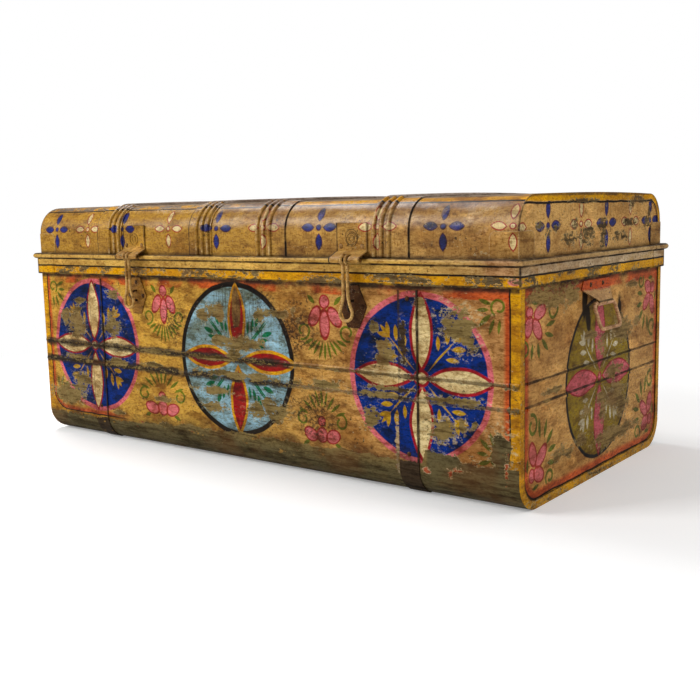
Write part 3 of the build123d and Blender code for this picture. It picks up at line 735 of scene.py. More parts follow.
def finish_material(tree, shader, aged, at, dent_depth=1.0, relief=0.35, chip_relief=0.0, gloss=0.15):
    """Connect the aged paint to the shader, with its relief and the sheet's dents."""
    plug(tree, shader.inputs["Base Color"], aged["Colour"])
    plug(tree, shader.inputs["Roughness"], aged["Roughness"])
    plug(tree, shader.inputs["Metallic"], aged["Metallic"])
    shader.inputs["Specular IOR Level"].default_value = gloss
    height = aged["Height"] * relief
    if dent_depth:
        height = height + use_group(tree, dents, At=at, Depth=dent_depth)["Height"]
    if chip_relief:
        height = height - aged["Chips"] * chip_relief
    bump = tree.nodes.new("ShaderNodeBump")
    bump.inputs["Distance"].default_value = MILLIMETRE
    bump.inputs["Strength"].default_value = 1.0
    plug(tree, bump.inputs["Height"], height)
    tree.links.new(bump.outputs["Normal"], shader.inputs["Normal"])


# %% Patches of worn paint
def patches(at, spots, ragged):
    """Below 1 inside any of several oval patches (x, y, half x, half y) with ragged edges.

    An oval is a circle seen in a stretched plane. Stretches are rounded to a power of two, so
    that patches of about the same shape share one stretched plane.
    """
    nearest = None
    stretched = {}
    for x, y, half_x, half_y in spots:
        ratio = 2.0 ** round(math.log2(half_x / half_y))
        if ratio not in stretched:
            stretched[ratio] = vector_calc("MULTIPLY", at, (1, ratio, 1))
        reach = vector_calc("DISTANCE", stretched[ratio], (x, y * ratio, 0)) / half_x
        nearest = reach if nearest is None else lowest(nearest, reach)
    return nearest + (ragged - 0.5) * 3.4


def worn(reach):
    """1 where the paint of a patch has gone."""
    return rise(reach, 1.50, 0.50)


print("materials can be started, finished and worn")

# %% [markdown]
# ## Front of the body
# The front carries three roundels with flowers between them, inside a border of yellow,
# black and orange. The painting is one group in the plane of the front, so that the sheets
# and the straps over them share it, as they did under the painter's brush.

# %% Ground and border of the front
BORDER_BEND = 55.0  # the border turns round the lower corners with this radius
BORDER_FOOT = 30.0  # height of the border's lower edge
ORANGE_TOP = 282.0  # above this the ground is orange
RED_TRACE = screen(196, 86, 50)


def front_ground(x, flat, hand_z):
    """Ochre ground, paler to the right, with an orange edge under the lid."""
    colour = blend(rise(x, -200, 480), OCHRE, PALE_OCHRE)
    worn_edge = rise(cloud(flat, 60, 4, 0.6, (1, 1, 1), 21.0), 0.40, 0.56)
    return blend(inside(ORANGE_TOP - hand_z, 1.4) * worn_edge * 0.92, colour, ORANGE)


def front_border(tree, x, hand_x, hand_z):
    """Distance inwards from the border's outer edge, and a mask of where a border is left."""
    frame_x = highest(absolute(hand_x) - (BODY_END - BORDER_BEND), 0.0)
    frame_z = highest(BORDER_FOOT + BORDER_BEND - hand_z, 0.0)
    edge = BORDER_BEND - vector_calc("LENGTH", join_xyz(tree, frame_x, frame_z))
    straight = BODY_END - absolute(x)
    edge = lowest(edge, straight)
    border_on = highest(rise(absolute(hand_x), 380, 440), rise(x, -250, -330))
    return edge, border_on


# %% Motifs of the front
ROUNDEL_Z = 171.5
SIDE_ROUNDELS = (-350.5, 341.0)
MIDDLE_ROUNDEL = (-6, ROUNDEL_Z)
HANGING_FLOWERS = ((-168.0, 275.0), (178.0, 270.0))
POSIES = ((-182.0, 76.0), (168.0, 72.0))
SPRIG_X = 463.0
SPRIG_RISE = 95.0  # how far a corner sprig lies above or below the middle of the two
SPRIG_Z = 173.0


def paint_motifs(tree, colour, hand, hand_x, hand_z):
    """Lay the roundels, flowers, posies and corner sprigs over the ground.

    A motif left of the middle and its twin on the right are one group, placed by its side.
    """
    side = rise(hand_x, -1, 1)

    def either(left, right):
        return calc("MULTIPLY_ADD", side, right - left, left)

    def around(middles, widths):
        """Coordinates seen from the middle of the left or the right motif."""
        (left_x, left_z), (right_x, right_z) = middles
        across = (hand_x - either(left_x, right_x)) / either(*widths)
        return join_xyz(tree, across, hand_z - either(left_z, right_z))

    pair = use_group(
        tree, roundel,
        At=join_xyz(
            tree, (hand_x - either(*SIDE_ROUNDELS)) / either(0.98, 1.0), (hand_z - ROUNDEL_Z) / 1.015,
        ),
        Heart=either(9.5, 12.5), Shift=either(-2.0, 5.5), Outline_Width=either(3.4, 4.4), Sprig=SPRIG_GOLD,
    )
    colour = blend(pair["Cover"], colour, pair["Colour"])
    middle = use_group(
        tree, roundel, At=place(hand, MIDDLE_ROUNDEL, 0, (1.035, 1.045)),
        Ring=INK, Field=SKY_BLUE, Petal=DARK_RED, Outline=YELLOW, Sprig=TEAL,
        Heart=0.0, Shift=5.5, Fan=1.0, Outline_Width=5.0,
    )
    colour = blend(middle["Cover"], colour, middle["Colour"])
    seen = use_group(tree, hanging_flower, At=around(HANGING_FLOWERS, (1.0, 1.08)))
    colour = blend(seen["Cover"] * 0.92, colour, seen["Colour"])
    seen = use_group(tree, posy, At=around(POSIES, (1.2, 1.0)))
    colour = blend(seen["Cover"] * 0.92, colour, seen["Colour"])
    from_sprig = join_xyz(tree, absolute(hand_x) - SPRIG_X, absolute(hand_z - SPRIG_Z) - SPRIG_RISE)
    seen = use_group(tree, corner_sprig, At=from_sprig)
    return blend(seen["Cover"] * 0.9, colour, LEAF)


# %% [markdown]
# ## Wear of the front
# Rain, knocks and feet take paint where they reach it: along the foot, on the ridges and in
# patches over the roundels. A patch is written as its middle and its half sizes. Pale crumbs
# of old ground show round the patches, and at the right a few spots of paint have stayed
# on the bare foot. Soot and grease have settled beside the hasps. Dark lines along the ridges
# are painted shade under them and dirt, and a band of painted shadow lies under the lid's skirt.

# %% Where the front is worn
FRONT_PATCHES = (
    (-398, 209, 27, 23), (-394, 251, 18, 6), (-434, 223, 11, 11), (-303, 210, 22, 19),
    (-299, 266, 17, 9), (-412, 147, 42, 6), (-294, 144, 31, 6), (-393, 106, 20, 17),
    (-300, 54, 16, 4), (-205, 171, 44, 5), (-205, 148, 30, 5), (-175, 90, 24, 7),
    (-75, 243, 14, 17), (-53, 248, 16, 10), (-36, 245, 8, 14), (48, 243, 12, 14),
    (84, 249, 32, 11), (14, 199, 44, 10), (-34, 197, 22, 9), (-62, 169, 54, 4),
    (-6, 178, 18, 12), (20, 146, 100, 6), (-58, 117, 48, 6), (-60, 90, 30, 10),
    (75, 96, 34, 22), (40, 93, 24, 10), (97, 250, 4, 4), (117, 253, 6, 5), (127, 240, 4, 4),
)
RIGHT_PATCHES = (
    (408, 245, 27, 25), (285, 202, 17, 18), (268, 238, 8, 9), (279, 142, 36, 6),
    (257, 107, 17, 14), (380, 101, 27, 15), (411, 109, 7, 14), (429, 115, 6, 7),
    (470, 84, 16, 36), (185, 146, 30, 6), (317, 222, 7, 32), (345, 273, 9, 7),
    (-435, 74, 42, 24), (400, 145, 40, 5), (302, 152, 40, 6),
)
SOOT_PATCHES = ((-140, 224, 30, 30), (124, 226, 34, 40), (150, 96, 40, 30), (60, 262, 26, 12))
FRONT_RIDGES = (171.5, 140.0)  # where the painted shade and dirt along the ridges are thickest
PALE_CRUMB = screen(214, 200, 160)
OLD_GROUND = screen(206, 186, 150)
OLD_RED = screen(186, 76, 34)


def wear_front(colour, x, z, flat, ragged):
    """What the years took: paint colours at the edges of wear, the bare mask, and its places."""
    gone = patches(flat, FRONT_PATCHES, ragged)
    gone_right = patches(flat, RIGHT_PATCHES, ragged)
    foot = rise(x, -260, -120) * 12.0 + rise(x, 344, 352) * 18.0 - rise(x, 398, 412) * 8.0 + 38.0
    over_foot = z + (ragged - 0.5) * 26.0 - foot
    reach = lowest(gone, gone_right, over_foot * 0.10 + 1.2 + rise(x, 352, 344) * 9.0)
    small = cloud(flat, 6.0, 5, 0.70, (1.4, 1, 1), 35.0)
    crumbs = rise(small, 0.52, 0.58) * (rise(x, 330, 370) * 0.50 + 0.18)
    colour = blend(rise(reach, 1.9, 1.4) * crumbs, colour, PALE_CRUMB)
    gone = worn(lowest(gone, gone_right)) * 1.05
    ridge = lowest(absolute(z - FRONT_RIDGES[0]), absolute(z - FRONT_RIDGES[1]))
    # dark lines along the ridges: painted shade under them, and dirt
    ridge_shade_and_dirt = rise(ridge + (ragged - 0.5) * 6.0, 3.4, 1.8)
    gone = highest(gone, rise(ridge, 8.0, 2.0) * 0.55)
    islands = rise(cloud(flat, 8, 5, 0.66, (2.4, 1, 1), 15.0), 0.58, 0.63)
    gone = highest(gone, rise(over_foot, 5, -3) * (1.7 - islands * 1.3 * rise(x, 360, 300)))
    # spots of paint that are left in the bare foot at the right
    left_over = lowest(
        dab(flat, (391, 43), 3.4, 5), dab(flat, (405, 49), 9, 1.6), dab(flat, (353, 42), 6, 4),
    )
    left_over = lowest(left_over, dab(flat, (477, 60), 2, 11), dab(flat, (305, 70), 2, 28))
    left_over = left_over + (small - 0.5) * 16.0
    gone = gone * rise(left_over, 0.0, 1.5)
    colour = blend(rise(left_over, 1.8, 0.8), colour, OLD_GROUND)
    colour = blend(rise(left_over, 0.2, -0.8) * rise(x, 320, 340) * 0.9, colour, OLD_RED)
    return colour, gone, over_foot, ridge, ridge_shade_and_dirt


def front_dirt_and_shade(x, z, flat, ragged, over_foot, ridge, ridge_shade_and_dirt):
    """Painted shade and dirt along the ridges, grime at the foot, painted shadow under the lid, and soot,
    drips and scratches.
    """
    stain = rise(over_foot, 26, 2) * 0.55 * rise(x, 346, 330)
    wide_ridge_shade_and_dirt = rise(ridge + (ragged - 0.5) * 12.0, 9.0, 4.0) * rise(x + ragged * 90.0, 190, 120) * 0.95
    drips = rise(cloud(flat, 3.0, 3, 0.6, (1, 12, 1), 27.0), 0.50, 0.60)
    drips = drips * inside(dab(flat, (5, 242), 84, 42), 16.0)
    scratches = rise(cloud(flat, 2.4, 4, 0.65, (12, 1, 1), 29.0), 0.50, 0.58)
    scratches = scratches * inside(dab(flat, (55, 96), 66, 36), 14.0)
    soot = worn(patches(flat, SOOT_PATCHES, ragged))
    soot = soot * rise(cloud(flat, 4.5, 4, 0.66), 0.47, 0.54)
    old_foot = rise(over_foot, 6, -2) * rise(ragged, 0.50, 0.66) * 0.40
    # painted shadow under the lid's skirt
    skirt_shadow = rise(z, *SKIRT_SHADOW_Z)
    ridge_shade_and_dirt = ridge_shade_and_dirt * (1.3 - rise(x, 60, 160) * 0.6)
    return highest(
        ridge_shade_and_dirt, soot * 0.85, stain, skirt_shadow * 0.9, old_foot, wide_ridge_shade_and_dirt, drips * 0.6, scratches * 0.6,
    )


# %% Front painting
WORN_PETAL = screen(136, 116, 62)


def make_front_painting():
    """Painting of the body's front, from X along the chest and Z up, in millimetres."""
    tree, w = open_group(
        "front_painting",
        {"At": ("vector", (0, 0, 0))},
        {"Colour": "colour", "Bare": "value", "Grime": "value"},
    )
    x, _, z = split_xyz(w["At"])
    flat = join_xyz(tree, x, z)
    hand = use_group(tree, wobble, At=flat, Amount=2.6)["At"]
    hand_x, hand_z, _ = split_xyz(hand)
    ragged = cloud(flat, 22, 7, 0.70, (1.3, 1, 1), 1.3)
    colour = front_ground(x, flat, hand_z)
    edge, border_on = front_border(tree, x, hand_x, hand_z)
    colour = blend(rise(edge, 26, 19) * border_on * 0.95, colour, ORANGE)
    old_red = rise(cloud(flat, 11, 3, 0.6, (1.6, 1, 1), 19.0), 0.58, 0.62) * rise(hand_z, 62, 40)
    colour = blend(old_red, colour, RED_TRACE)
    colour = paint_motifs(tree, colour, hand, hand_x, hand_z)
    # black line and yellow edge go on last
    colour = blend(between(edge, 12.8, 15.8, 0.8) * border_on, colour, INK)
    colour = blend(rise(edge, 13.8, 12.8) * border_on, colour, YELLOW)
    # the upper half of the middle roundel's top petal has lost its red
    cap = inside(dab(hand, (-1, 252), 9.5, 34), 1.0) * rise(hand_z, 222.6, 224)
    colour = blend(cap * 0.86, colour, WORN_PETAL)
    colour, gone, *places = wear_front(colour, x, z, flat, ragged)
    grime_and_shade = front_dirt_and_shade(x, z, flat, ragged, *places)
    return close_group(tree, Colour=colour, Bare=gone, Grime=grime_and_shade)


front_painting = make_front_painting()
print("front painting nodes:", len(front_painting.nodes))

# %% [markdown]
# ## Ends of the body
# Each end has one roundel on a buff ground, a flower in each corner and an orange edge that
# fades inwards. Both ends use one group that reads Y and Z, so the left end is painted like
# the right one. X only keeps the painted shadow of the handle to the right end.

# %% End painting
END_BORDER_BEND = 50.0
END_BORDER_Y = round(BODY_WALL - END_BORDER_BEND, 1)
END_ORANGE_TOP = 281  # above this the ground is orange
END_ROUNDEL = (5, 148.5)
END_POSIES = (  # middle, angle and size of the flower in each corner
    ((-197, 62), 0, (1, 1)),
    ((-205, 252), -90, (0.9, 1)),
    ((200, 252), 180, (0.95, 0.95)),
    ((196, 62), 0, (-1, 1)),
)
END_PATCHES = (
    (-160, 284, 78, 18), (-96, 276, 30, 12), (-30, 216, 26, 7), (12, 198, 16, 12), (62, 152, 44, 12),
    (8, 114, 20, 10), (70, 112, 40, 22), (96, 90, 22, 24), (-40, 106, 20, 8), (50, 52, 60, 12),
    (110, 50, 50, 12), (-150, 153, 40, 5), (-168, 142, 12, 4), (85, 212, 44, 18), (-120, 60, 40, 12),
    (-62, 68, 24, 10), (120, 277, 24, 8), (146, 218, 16, 6), (18, 92, 14, 16),
)
END_RIDGES = (173.5, 142.0)  # where painted shade and dirt lie along the ridges


def make_end_painting():
    """Painting of an end panel, from Y and Z in millimetres."""
    tree, w = open_group(
        "end_painting",
        {"At": ("vector", (0, 0, 0))},
        {"Colour": "colour", "Bare": "value", "Grime": "value"},
    )
    x, y, z = split_xyz(w["At"])
    flat = join_xyz(tree, y, z)
    hand = use_group(tree, wobble, At=flat, Amount=2.6)["At"]
    hand_y, hand_z, _ = split_xyz(hand)
    ragged = cloud(flat, 22, 7, 0.70, (1.4, 1, 1), 6.1)
    worn_edge = rise(cloud(flat, 70, 4, 0.6, (1, 1, 1), 31.0), 0.34, 0.50)
    colour = blend(inside(END_ORANGE_TOP - hand_z, 3.0) * worn_edge * 0.9, BUFF, ORANGE)
    corner_y = highest(absolute(hand_y) - END_BORDER_Y, 0.0)
    corner_z = highest(END_BORDER_BEND - hand_z, 0.0)
    edge = END_BORDER_BEND - vector_calc("LENGTH", join_xyz(tree, corner_y, corner_z))
    colour = blend(rise(edge, 30, 20) * 0.92, colour, ORANGE)
    seen = use_group(
        tree, roundel, At=place(hand, END_ROUNDEL, 0, (0.99, 1.03)),
        Ring=INK, Field=OLIVE, Petal=ROSE, Outline=CRIMSON, Sprig=CHALK,
        Heart=7.0, Ring_Width=5.5, Outline_Width=2.2, Sprig_Strength=0.75,
    )
    colour = blend(seen["Cover"], colour, seen["Colour"])
    for centre, angle, size in END_POSIES:
        seen = use_group(tree, end_posy, At=place(hand, centre, angle, size))
        colour = blend(seen["Cover"] * 0.9, colour, seen["Colour"])
    colour = blend(between(edge, 12.0, 15.2, 0.8), colour, INK)
    colour = blend(rise(edge, 13, 12), colour, YELLOW)
    gone = worn(patches(flat, END_PATCHES, ragged))
    # painted shade and dirt along the ridges, painted shadow under the lid and of the handle beside the bail,
    # and soot in the upper corner
    ridge = lowest(absolute(z - END_RIDGES[0]), absolute(z - END_RIDGES[1]))
    lines = rise(ridge + (ragged - 0.5) * 2.4, 2.3, 1.0)
    skirt_shadow = rise(z, *SKIRT_SHADOW_Z)
    handle_shadow = lowest(
        dab(flat, (-50, 266), 8, 24), dab(flat, (-38, 240), 8, 20, 14), dab(flat, (76, 246), 7, 18),
    )
    handle_shadow = inside(handle_shadow, 4.0) * rise(x, 0, 1)
    upper_soot = inside(dab(flat, (-160, 284), 84, 15) + (ragged - 0.5) * 30.0, 4.0) * 0.6
    grime_and_shade = highest(lines * 0.9, skirt_shadow * 0.8, handle_shadow * 1.8, upper_soot)
    return close_group(tree, Colour=colour, Bare=gone, Grime=grime_and_shade)


end_painting = make_end_painting()
print("end painting nodes:", len(end_painting.nodes))

# %% [markdown]
# ## Finishes of the body
# One material covers the wrap: the painting in front, a bare base, a plain ochre back and a
# dull inside. Which of them a point gets follows from where it lies. It is inside when it
# lies nearer to the middle of the bend than the outer face does. The straps take the front's
# painting too, because they were painted over with the sheet behind them.

# %% Materials of the body
RUBBED_RIDGES = (172.0, 139.0)  # heights where the ridges are rubbed bare
BACK_BORDER = (478.5, 482)  # black line near the ends of the back, with yellow beyond it
END_FACE = (495.0, 495.3)  # only the outer face of an end panel lies beyond these


def make_body_sheet():
    """Painted wrap: the front painting, a plain back, a bare base and a dull inside."""
    material, tree, shader, at = start_material("body_sheet_paint")
    x, y, z = split_xyz(at)
    painting = use_group(tree, front_painting, At=at)
    is_front = rise(y, -195, -202)
    plain = blend(rise(absolute(x), 481, 484), OCHRE, YELLOW)
    plain = blend(between(absolute(x), *BACK_BORDER, 0.7), plain, INK)
    colour = blend(is_front, plain, painting["Colour"])
    low = rise(z, 34, 24) * 1.7
    ridge = rise(lowest(absolute(z - RUBBED_RIDGES[0]), absolute(z - RUBBED_RIDGES[1])), 2.2, 1.0)
    bare = highest(painting["Bare"] * is_front, low, ridge * 0.4)
    # the inside is dull: how far a point lies from the middle of the bend, less the ridges
    from_ridge = lowest(absolute(z - RIDGES[1]), absolute(z - RIDGES[0]))
    bulge = highest(calc("SQRT", highest(16.0 - from_ridge * from_ridge, 0.0)) - 2.4, 0.0)
    depth = join_xyz(tree, highest(absolute(y) - bulge - BODY_FLAT, 0.0), highest(BODY_BEND - z, 0.0))
    is_inside = rise(vector_calc("LENGTH", depth), BODY_BEND - 0.4, BODY_BEND - 0.8)
    colour = blend(is_inside, colour, BODY_INSIDE)
    # bare iron is darker at the foot and towards the right
    dark_iron = highest(rise(z, 60, 30), rise(z, 78, 71) * rise(x, 350, 356), rise(x, 448, 454))
    metal = blend(dark_iron, BARE, BARE_DARK)
    aged = use_group(
        tree, old_paint, Paint=colour, At=at, Bare=bare, Wear=0.34, Dirt=0.86,
        Grime=painting["Grime"] * is_front, Metal=metal,
    )
    finish_material(tree, shader, aged, at, 0.8, 0.35)
    return material


def make_end_panel():
    """Painted end panel, dull inside."""
    material, tree, shader, at = start_material("end_panel_paint")
    painting = use_group(tree, end_painting, At=at)
    x, _, _ = split_xyz(at)
    is_outside = rise(absolute(x), *END_FACE)
    colour = blend(is_outside, BODY_INSIDE, painting["Colour"])
    aged = use_group(
        tree, old_paint, Paint=colour, At=at, Bare=painting["Bare"] * is_outside, Wear=0.25, Dirt=0.70,
        Grime=painting["Grime"] * is_outside, Speckle=0.3, Metal=screen(160, 130, 74),
    )
    finish_material(tree, shader, aged, at, 0.7, 0.3)
    return material


def make_strap():
    """Strap under the same painting, with dark edges of painted shade and rubbed dirt and, at the right, a
    bare foot.
    """
    material, tree, shader, at = start_material("strap_paint")
    x, y, z = split_xyz(at)
    painting = use_group(tree, front_painting, At=at)
    is_front = rise(y, 0, -1)
    colour = blend(is_front, OCHRE, painting["Colour"])
    across = x - (rise(x, -1, 1) * (STRAPS[1] - STRAPS[0]) + STRAPS[0])
    ragged = cloud(at, 18, 5, 0.65)
    # dark edges: painted shade where the strap stands on the sheet, and dirt rubbed into them
    rubbed = rise(across + ragged * 2.4, 14.2, 15.4)
    left_edge = rise(ragged * 7.0 - across, 14.6, 17.4) * rise(z, 150, 190) * rise(x, 0, 1)
    rubbed = highest(rubbed, rise(ragged * 2.4 - across, 16.4, 17.2) * 0.7, left_edge * 0.8)
    foot = rise(z + (ragged - 0.5) * 24, 54, 48) * rise(x, 0, 1)
    bare = highest(painting["Bare"] * is_front, foot * 1.7)
    grime_and_shade = highest(rubbed, foot * 1.3, painting["Grime"] * is_front)
    aged = use_group(
        tree, old_paint, Paint=colour, At=at, Bare=bare, Wear=0.40, Dirt=0.8, Grime=grime_and_shade,
        Metal=screen(70, 54, 36),
    )
    finish_material(tree, shader, aged, at, 0.0, 0.35)
    return material


def make_yellow_seam():
    """Seam strip in worn yellow, with a dark line along its inner edge."""
    material, tree, shader, at = start_material("seam_yellow")
    _, y, z = split_xyz(at)
    corner_y = highest(absolute(y) - BODY_FLAT, 0.0)
    corner_z = highest(BODY_BEND - z, 0.0)
    edge = BODY_BEND - vector_calc("LENGTH", join_xyz(tree, corner_y, corner_z))
    low = rise(z, 30, 4) * 0.35
    line = between(edge, 11.6, 13.4, 0.5)
    aged = use_group(
        tree, old_paint, Paint=YELLOW, At=at, Bare=low, Wear=0.62, Dirt=0.7, Grime=line * 0.9,
        Metal=BARE_DARK,
    )
    finish_material(tree, shader, aged, at, 0.3, 0.35)
    return material


body_sheet_paint = make_body_sheet()
end_panel_paint = make_end_panel()
strap_paint = make_strap()
seam_yellow = make_yellow_seam()
print("body finishes:", body_sheet_paint.name, end_panel_paint.name, strap_paint.name, seam_yellow.name)

# %% [markdown]
# ## Lid
# The wall and shoulder of the lid carry a row of small flowers, blue and cream in turn, and
# a yellow stripe with a black line runs where the shoulder meets the top. The flowers sit on
# the distance along the bent sheet, so they are not squeezed by the curve. A Color Ramp with
# constant steps holds the middle of each flower and which of the two colours it has.

# %% Rows of flowers
ROW_ENDS = (-520.0, 520.0)  # a row may run a little past both ends of the chest


def flower_row(tree, along, up, row_z, stops, size):
    """One row of flowers. Stops are (middle, 0 for blue or 1 for cream) from left to right."""
    low, high = ROW_ENDS
    ramp = tree.nodes.new("ShaderNodeValToRGB")
    ramp.color_ramp.interpolation = "CONSTANT"
    plug(tree, ramp.inputs[0], (along - low) / (high - low))
    elements = ramp.color_ramp.elements
    for index, (middle, kind) in enumerate(stops):
        start = 0.0 if index == 0 else ((stops[index - 1][0] + middle) / 2 - low) / (high - low)
        element = elements[0] if index == 0 else elements.new(start)
        element.position = start
        element.color = ((middle - low) / (high - low), kind, 0, 1)
    elements.remove(elements[len(elements) - 1])  # a new ramp's own last colour
    centre, kind, _ = split_xyz(Wire(tree, ramp.outputs["Color"]))
    local_x = along - calc("MULTIPLY_ADD", centre, high - low, low)
    at = join_xyz(tree, local_x, up - row_z)
    fill = blend(kind, LID_BLUE, CREAM)
    line = blend(kind, VIOLET, CRIMSON)
    return use_group(tree, lid_flower, At=at, Fill=fill, Line=line, Size=size)


print("flower rows run from", ROW_ENDS[0], "to", ROW_ENDS[1], "mm")


# %% Lid painting
LID_FLOWERS = (
    (-445, 0), (-357, 1), (-261, 0), (-148, 1), (-37, 0), (64, 1), (171, 0), (277, 1), (383, 0), (486, 1),
)
LID_ROW = 43.0  # distance of the row from the foot of the lid, along the sheet
SHOULDER_STAIN = (0.56, 0.45, 0.28)
STROKE_STAIN = (0.56, 0.45, 0.30)
LAPS = (328.6, -98.6, 107.6)  # dark edges of the bands: both outer ones, then the inner two
PAINTED_GLARE = screen(228, 204, 166)


def make_lid_painting():
    """Painting of the lid's long walls, shoulders and top."""
    tree, w = open_group(
        "lid_painting",
        {"At": ("vector", (0, 0, 0))},
        {"Colour": "colour", "Bare": "value", "Grime": "value", "Top": "value"},
    )
    x, y, z = split_xyz(w["At"])
    out = absolute(y)
    # distance along the bent sheet: up the wall, round the shoulder, then inwards over the top
    up_turn = calc("ARCTAN2", highest(z - LID_BEND_Z, 0.0), highest(out - LID_FLAT, 0.001))
    along_sheet = lowest(z - LID_FOOT, LID_BEND_Z - LID_FOOT) + up_turn * LID_BEND
    along_sheet = along_sheet + highest(LID_FLAT - out, 0.0) * rise(z, 400, 405)
    flat = join_xyz(tree, x, along_sheet)
    hand = use_group(tree, wobble, At=flat, Amount=2.2)["At"]
    hand_x, hand_s, _ = split_xyz(hand)
    ragged = cloud(w["At"], 28, 6, 0.68, (1.6, 1.6, 1), 8.8)
    colour = blend(rise(x, -100, 450), LID_OCHRE, PALE_LID_OCHRE)
    seen = flower_row(tree, hand_x, hand_s, LID_ROW, LID_FLOWERS, 1.0)
    colour = blend(seen["Cover"] * 0.95, colour, seen["Colour"])
    top = rise(along_sheet, 95, 99)
    far_shoulder = rise(x, 120, 220) * rise(along_sheet + ragged * 16.0, 68, 84)
    colour = tint(far_shoulder, colour, SHOULDER_STAIN)
    strokes = cloud(flat, 8, 6, 0.70, (0.32, 1.6, 1), 41.0)
    colour = tint(rise(strokes, 0.52, 0.64) * 0.8, colour, STROKE_STAIN)
    # painted highlight: pale streaks of glare on the front shoulder, in three places
    glare_streaks = cloud(flat, 18, 6, 0.68, (1.5, 1, 1), 33.0) * 0.6 + strokes * 0.4
    highlight_area = lowest(
        dab(flat, (300, 64), 120, 20), dab(flat, (20, 70), 60, 14), dab(flat, (440, 56), 40, 26),
    )
    colour = blend(rise(glare_streaks, 0.49, 0.56) * inside(highlight_area, 14.0) * 0.40, colour, PAINTED_GLARE)
    colour = blend(top, colour, LID_TOP_BROWN)
    stripe = between(hand_s, 83.5, 95.0, 1.0)
    colour = blend(stripe, colour, LID_YELLOW)
    colour = blend(between(hand_s, 79.6, 82.6, 0.8), colour, INK)
    worn_top = top * rise(cloud(w["At"], 80, 4, 0.6, (1, 1, 1), 2.0), 0.36, 0.58)
    worn_stripe = stripe * rise(cloud(flat, 46, 5, 0.64, (1, 1, 1), 12.0), 0.38, 0.50)
    worn_stripe = worn_stripe * rise(x, 150, 70)
    end_stripe = rise(absolute(x), 480, 482.5) * top
    colour = blend(end_stripe, colour, LID_YELLOW)
    bare = highest(worn_top * 0.55, worn_stripe * 0.9)
    # painted shade on the wall just above the bead
    shade_above_bead = rise(z + ragged * 6.0, 345, 337)
    lap = lowest(absolute(absolute(x) - LAPS[0]), absolute(x - LAPS[1]), absolute(x - LAPS[2]))
    lap = rise(lap + (ragged - 0.5) * 1.6, 2.0, 1.1)
    return close_group(tree, Colour=colour, Bare=bare, Grime=highest(shade_above_bead * 0.7, lap), Top=top)


lid_painting = make_lid_painting()
print("lid painting nodes:", len(lid_painting.nodes))


# %% Lid end painting
LID_END_FLOWERS = ((-260, 1), (-162, 0), (-58, 1), (30, 0), (122, 1), (205, 0))
LID_END_ROW_Z = 375.0
LID_END_PATCHES = (
    (-186, 376, 12, 8), (-139, 373, 14, 9), (-162, 366, 8, 6), (-86, 356, 34, 9), (-40, 358, 26, 10),
    (14, 372, 18, 12), (20, 352, 16, 12), (78, 352, 36, 7), (120, 374, 26, 6), (190, 372, 14, 14),
    (200, 384, 8, 18), (-80, 378, 18, 8), (125, 400, 8, 10), (-60, 408, 60, 4), (150, 408, 40, 4),
)


def make_lid_end_painting():
    """Painting of the lid's ends: a row of flowers, a black line and a yellow edge."""
    tree, w = open_group(
        "lid_end_painting",
        {"At": ("vector", (0, 0, 0))},
        {"Colour": "colour", "Bare": "value", "Grime": "value"},
    )
    _, y, z = split_xyz(w["At"])
    flat = join_xyz(tree, y, z)
    hand = use_group(tree, wobble, At=flat, Amount=2.4)["At"]
    hand_y, hand_z, _ = split_xyz(hand)
    seen = flower_row(tree, hand_y, hand_z, LID_END_ROW_Z, LID_END_FLOWERS, 1.12)
    colour = blend(seen["Cover"] * 0.95, LID_END_BUFF, seen["Colour"])
    # the yellow edge follows the top and the back curve, with a black line inside it
    edge_y = highest(hand_y - LID_FLAT, 0.0)
    edge_z = highest(hand_z - LID_BEND_Z, 0.0)
    edge = LID_BEND - vector_calc("LENGTH", join_xyz(tree, edge_y, edge_z))
    front_y = highest(absolute(hand_y) - LID_FLAT, 0.0)
    front_edge = LID_BEND - vector_calc("LENGTH", join_xyz(tree, front_y, edge_z))
    colour = blend(rise(edge, 9.4, 8.4), colour, LID_END_YELLOW)
    colour = blend(between(edge, 9.6, 12.6, 0.6), colour, INK)
    ragged = cloud(flat, 22, 6, 0.68, (1.4, 1, 1), 4.4)
    gone = worn(patches(flat, LID_END_PATCHES, ragged))
    corner = rise(front_edge + (ragged - 0.5) * 4.0, 3.0, 1.2)
    # painted shade just above the bead
    shade_above_bead = rise(z + ragged * 6.0, 344, 337)
    grime_and_shade = highest(corner * 0.7, shade_above_bead * 0.7)
    return close_group(tree, Colour=colour, Bare=gone * 0.85, Grime=grime_and_shade)


lid_end_painting = make_lid_end_painting()
print("lid end painting nodes:", len(lid_end_painting.nodes))

# %% [markdown]
# ## Finishes of the lid
# The crown and the shoulders share one finish and the ends have another, each dull inside.
# The cross bands were painted with the lid, and hands and ropes have since rubbed them to
# pale iron on the top. Their ribs stand proud, and their crests carry a painted highlight in
# pale paint. The grooves beside them are darker on all but the outer left band.

# %% Materials of the lid
def make_lid_sheet():
    """Painted lid sheet, dull inside."""
    material, tree, shader, at = start_material("lid_sheet_paint")
    painting = use_group(tree, lid_painting, At=at)
    _, y, z = split_xyz(at)
    out = absolute(y)
    part_way = lowest(out, LID_FLAT) / LID_FLAT
    camber = LID_CAMBER - part_way * part_way * LID_CAMBER
    depth = join_xyz(tree, highest(out - LID_FLAT, 0.0), highest(z - camber - LID_BEND_Z, 0.0))
    is_outside = rise(vector_calc("LENGTH", depth), LID_BEND - 0.8, LID_BEND - 0.4)
    colour = blend(is_outside, LID_INSIDE, painting["Colour"])
    aged = use_group(
        tree, old_paint, Paint=colour, At=at, Bare=painting["Bare"] * is_outside, Wear=0.36, Dirt=0.66,
        Grime=painting["Grime"] * is_outside, Metal=screen(126, 106, 86),
    )
    rougher = aged["Roughness"] + painting["Top"] * 0.08
    finish_material(tree, shader, {**aged, "Roughness": rougher}, at, 1.5, 0.35, gloss=0.24)
    return material


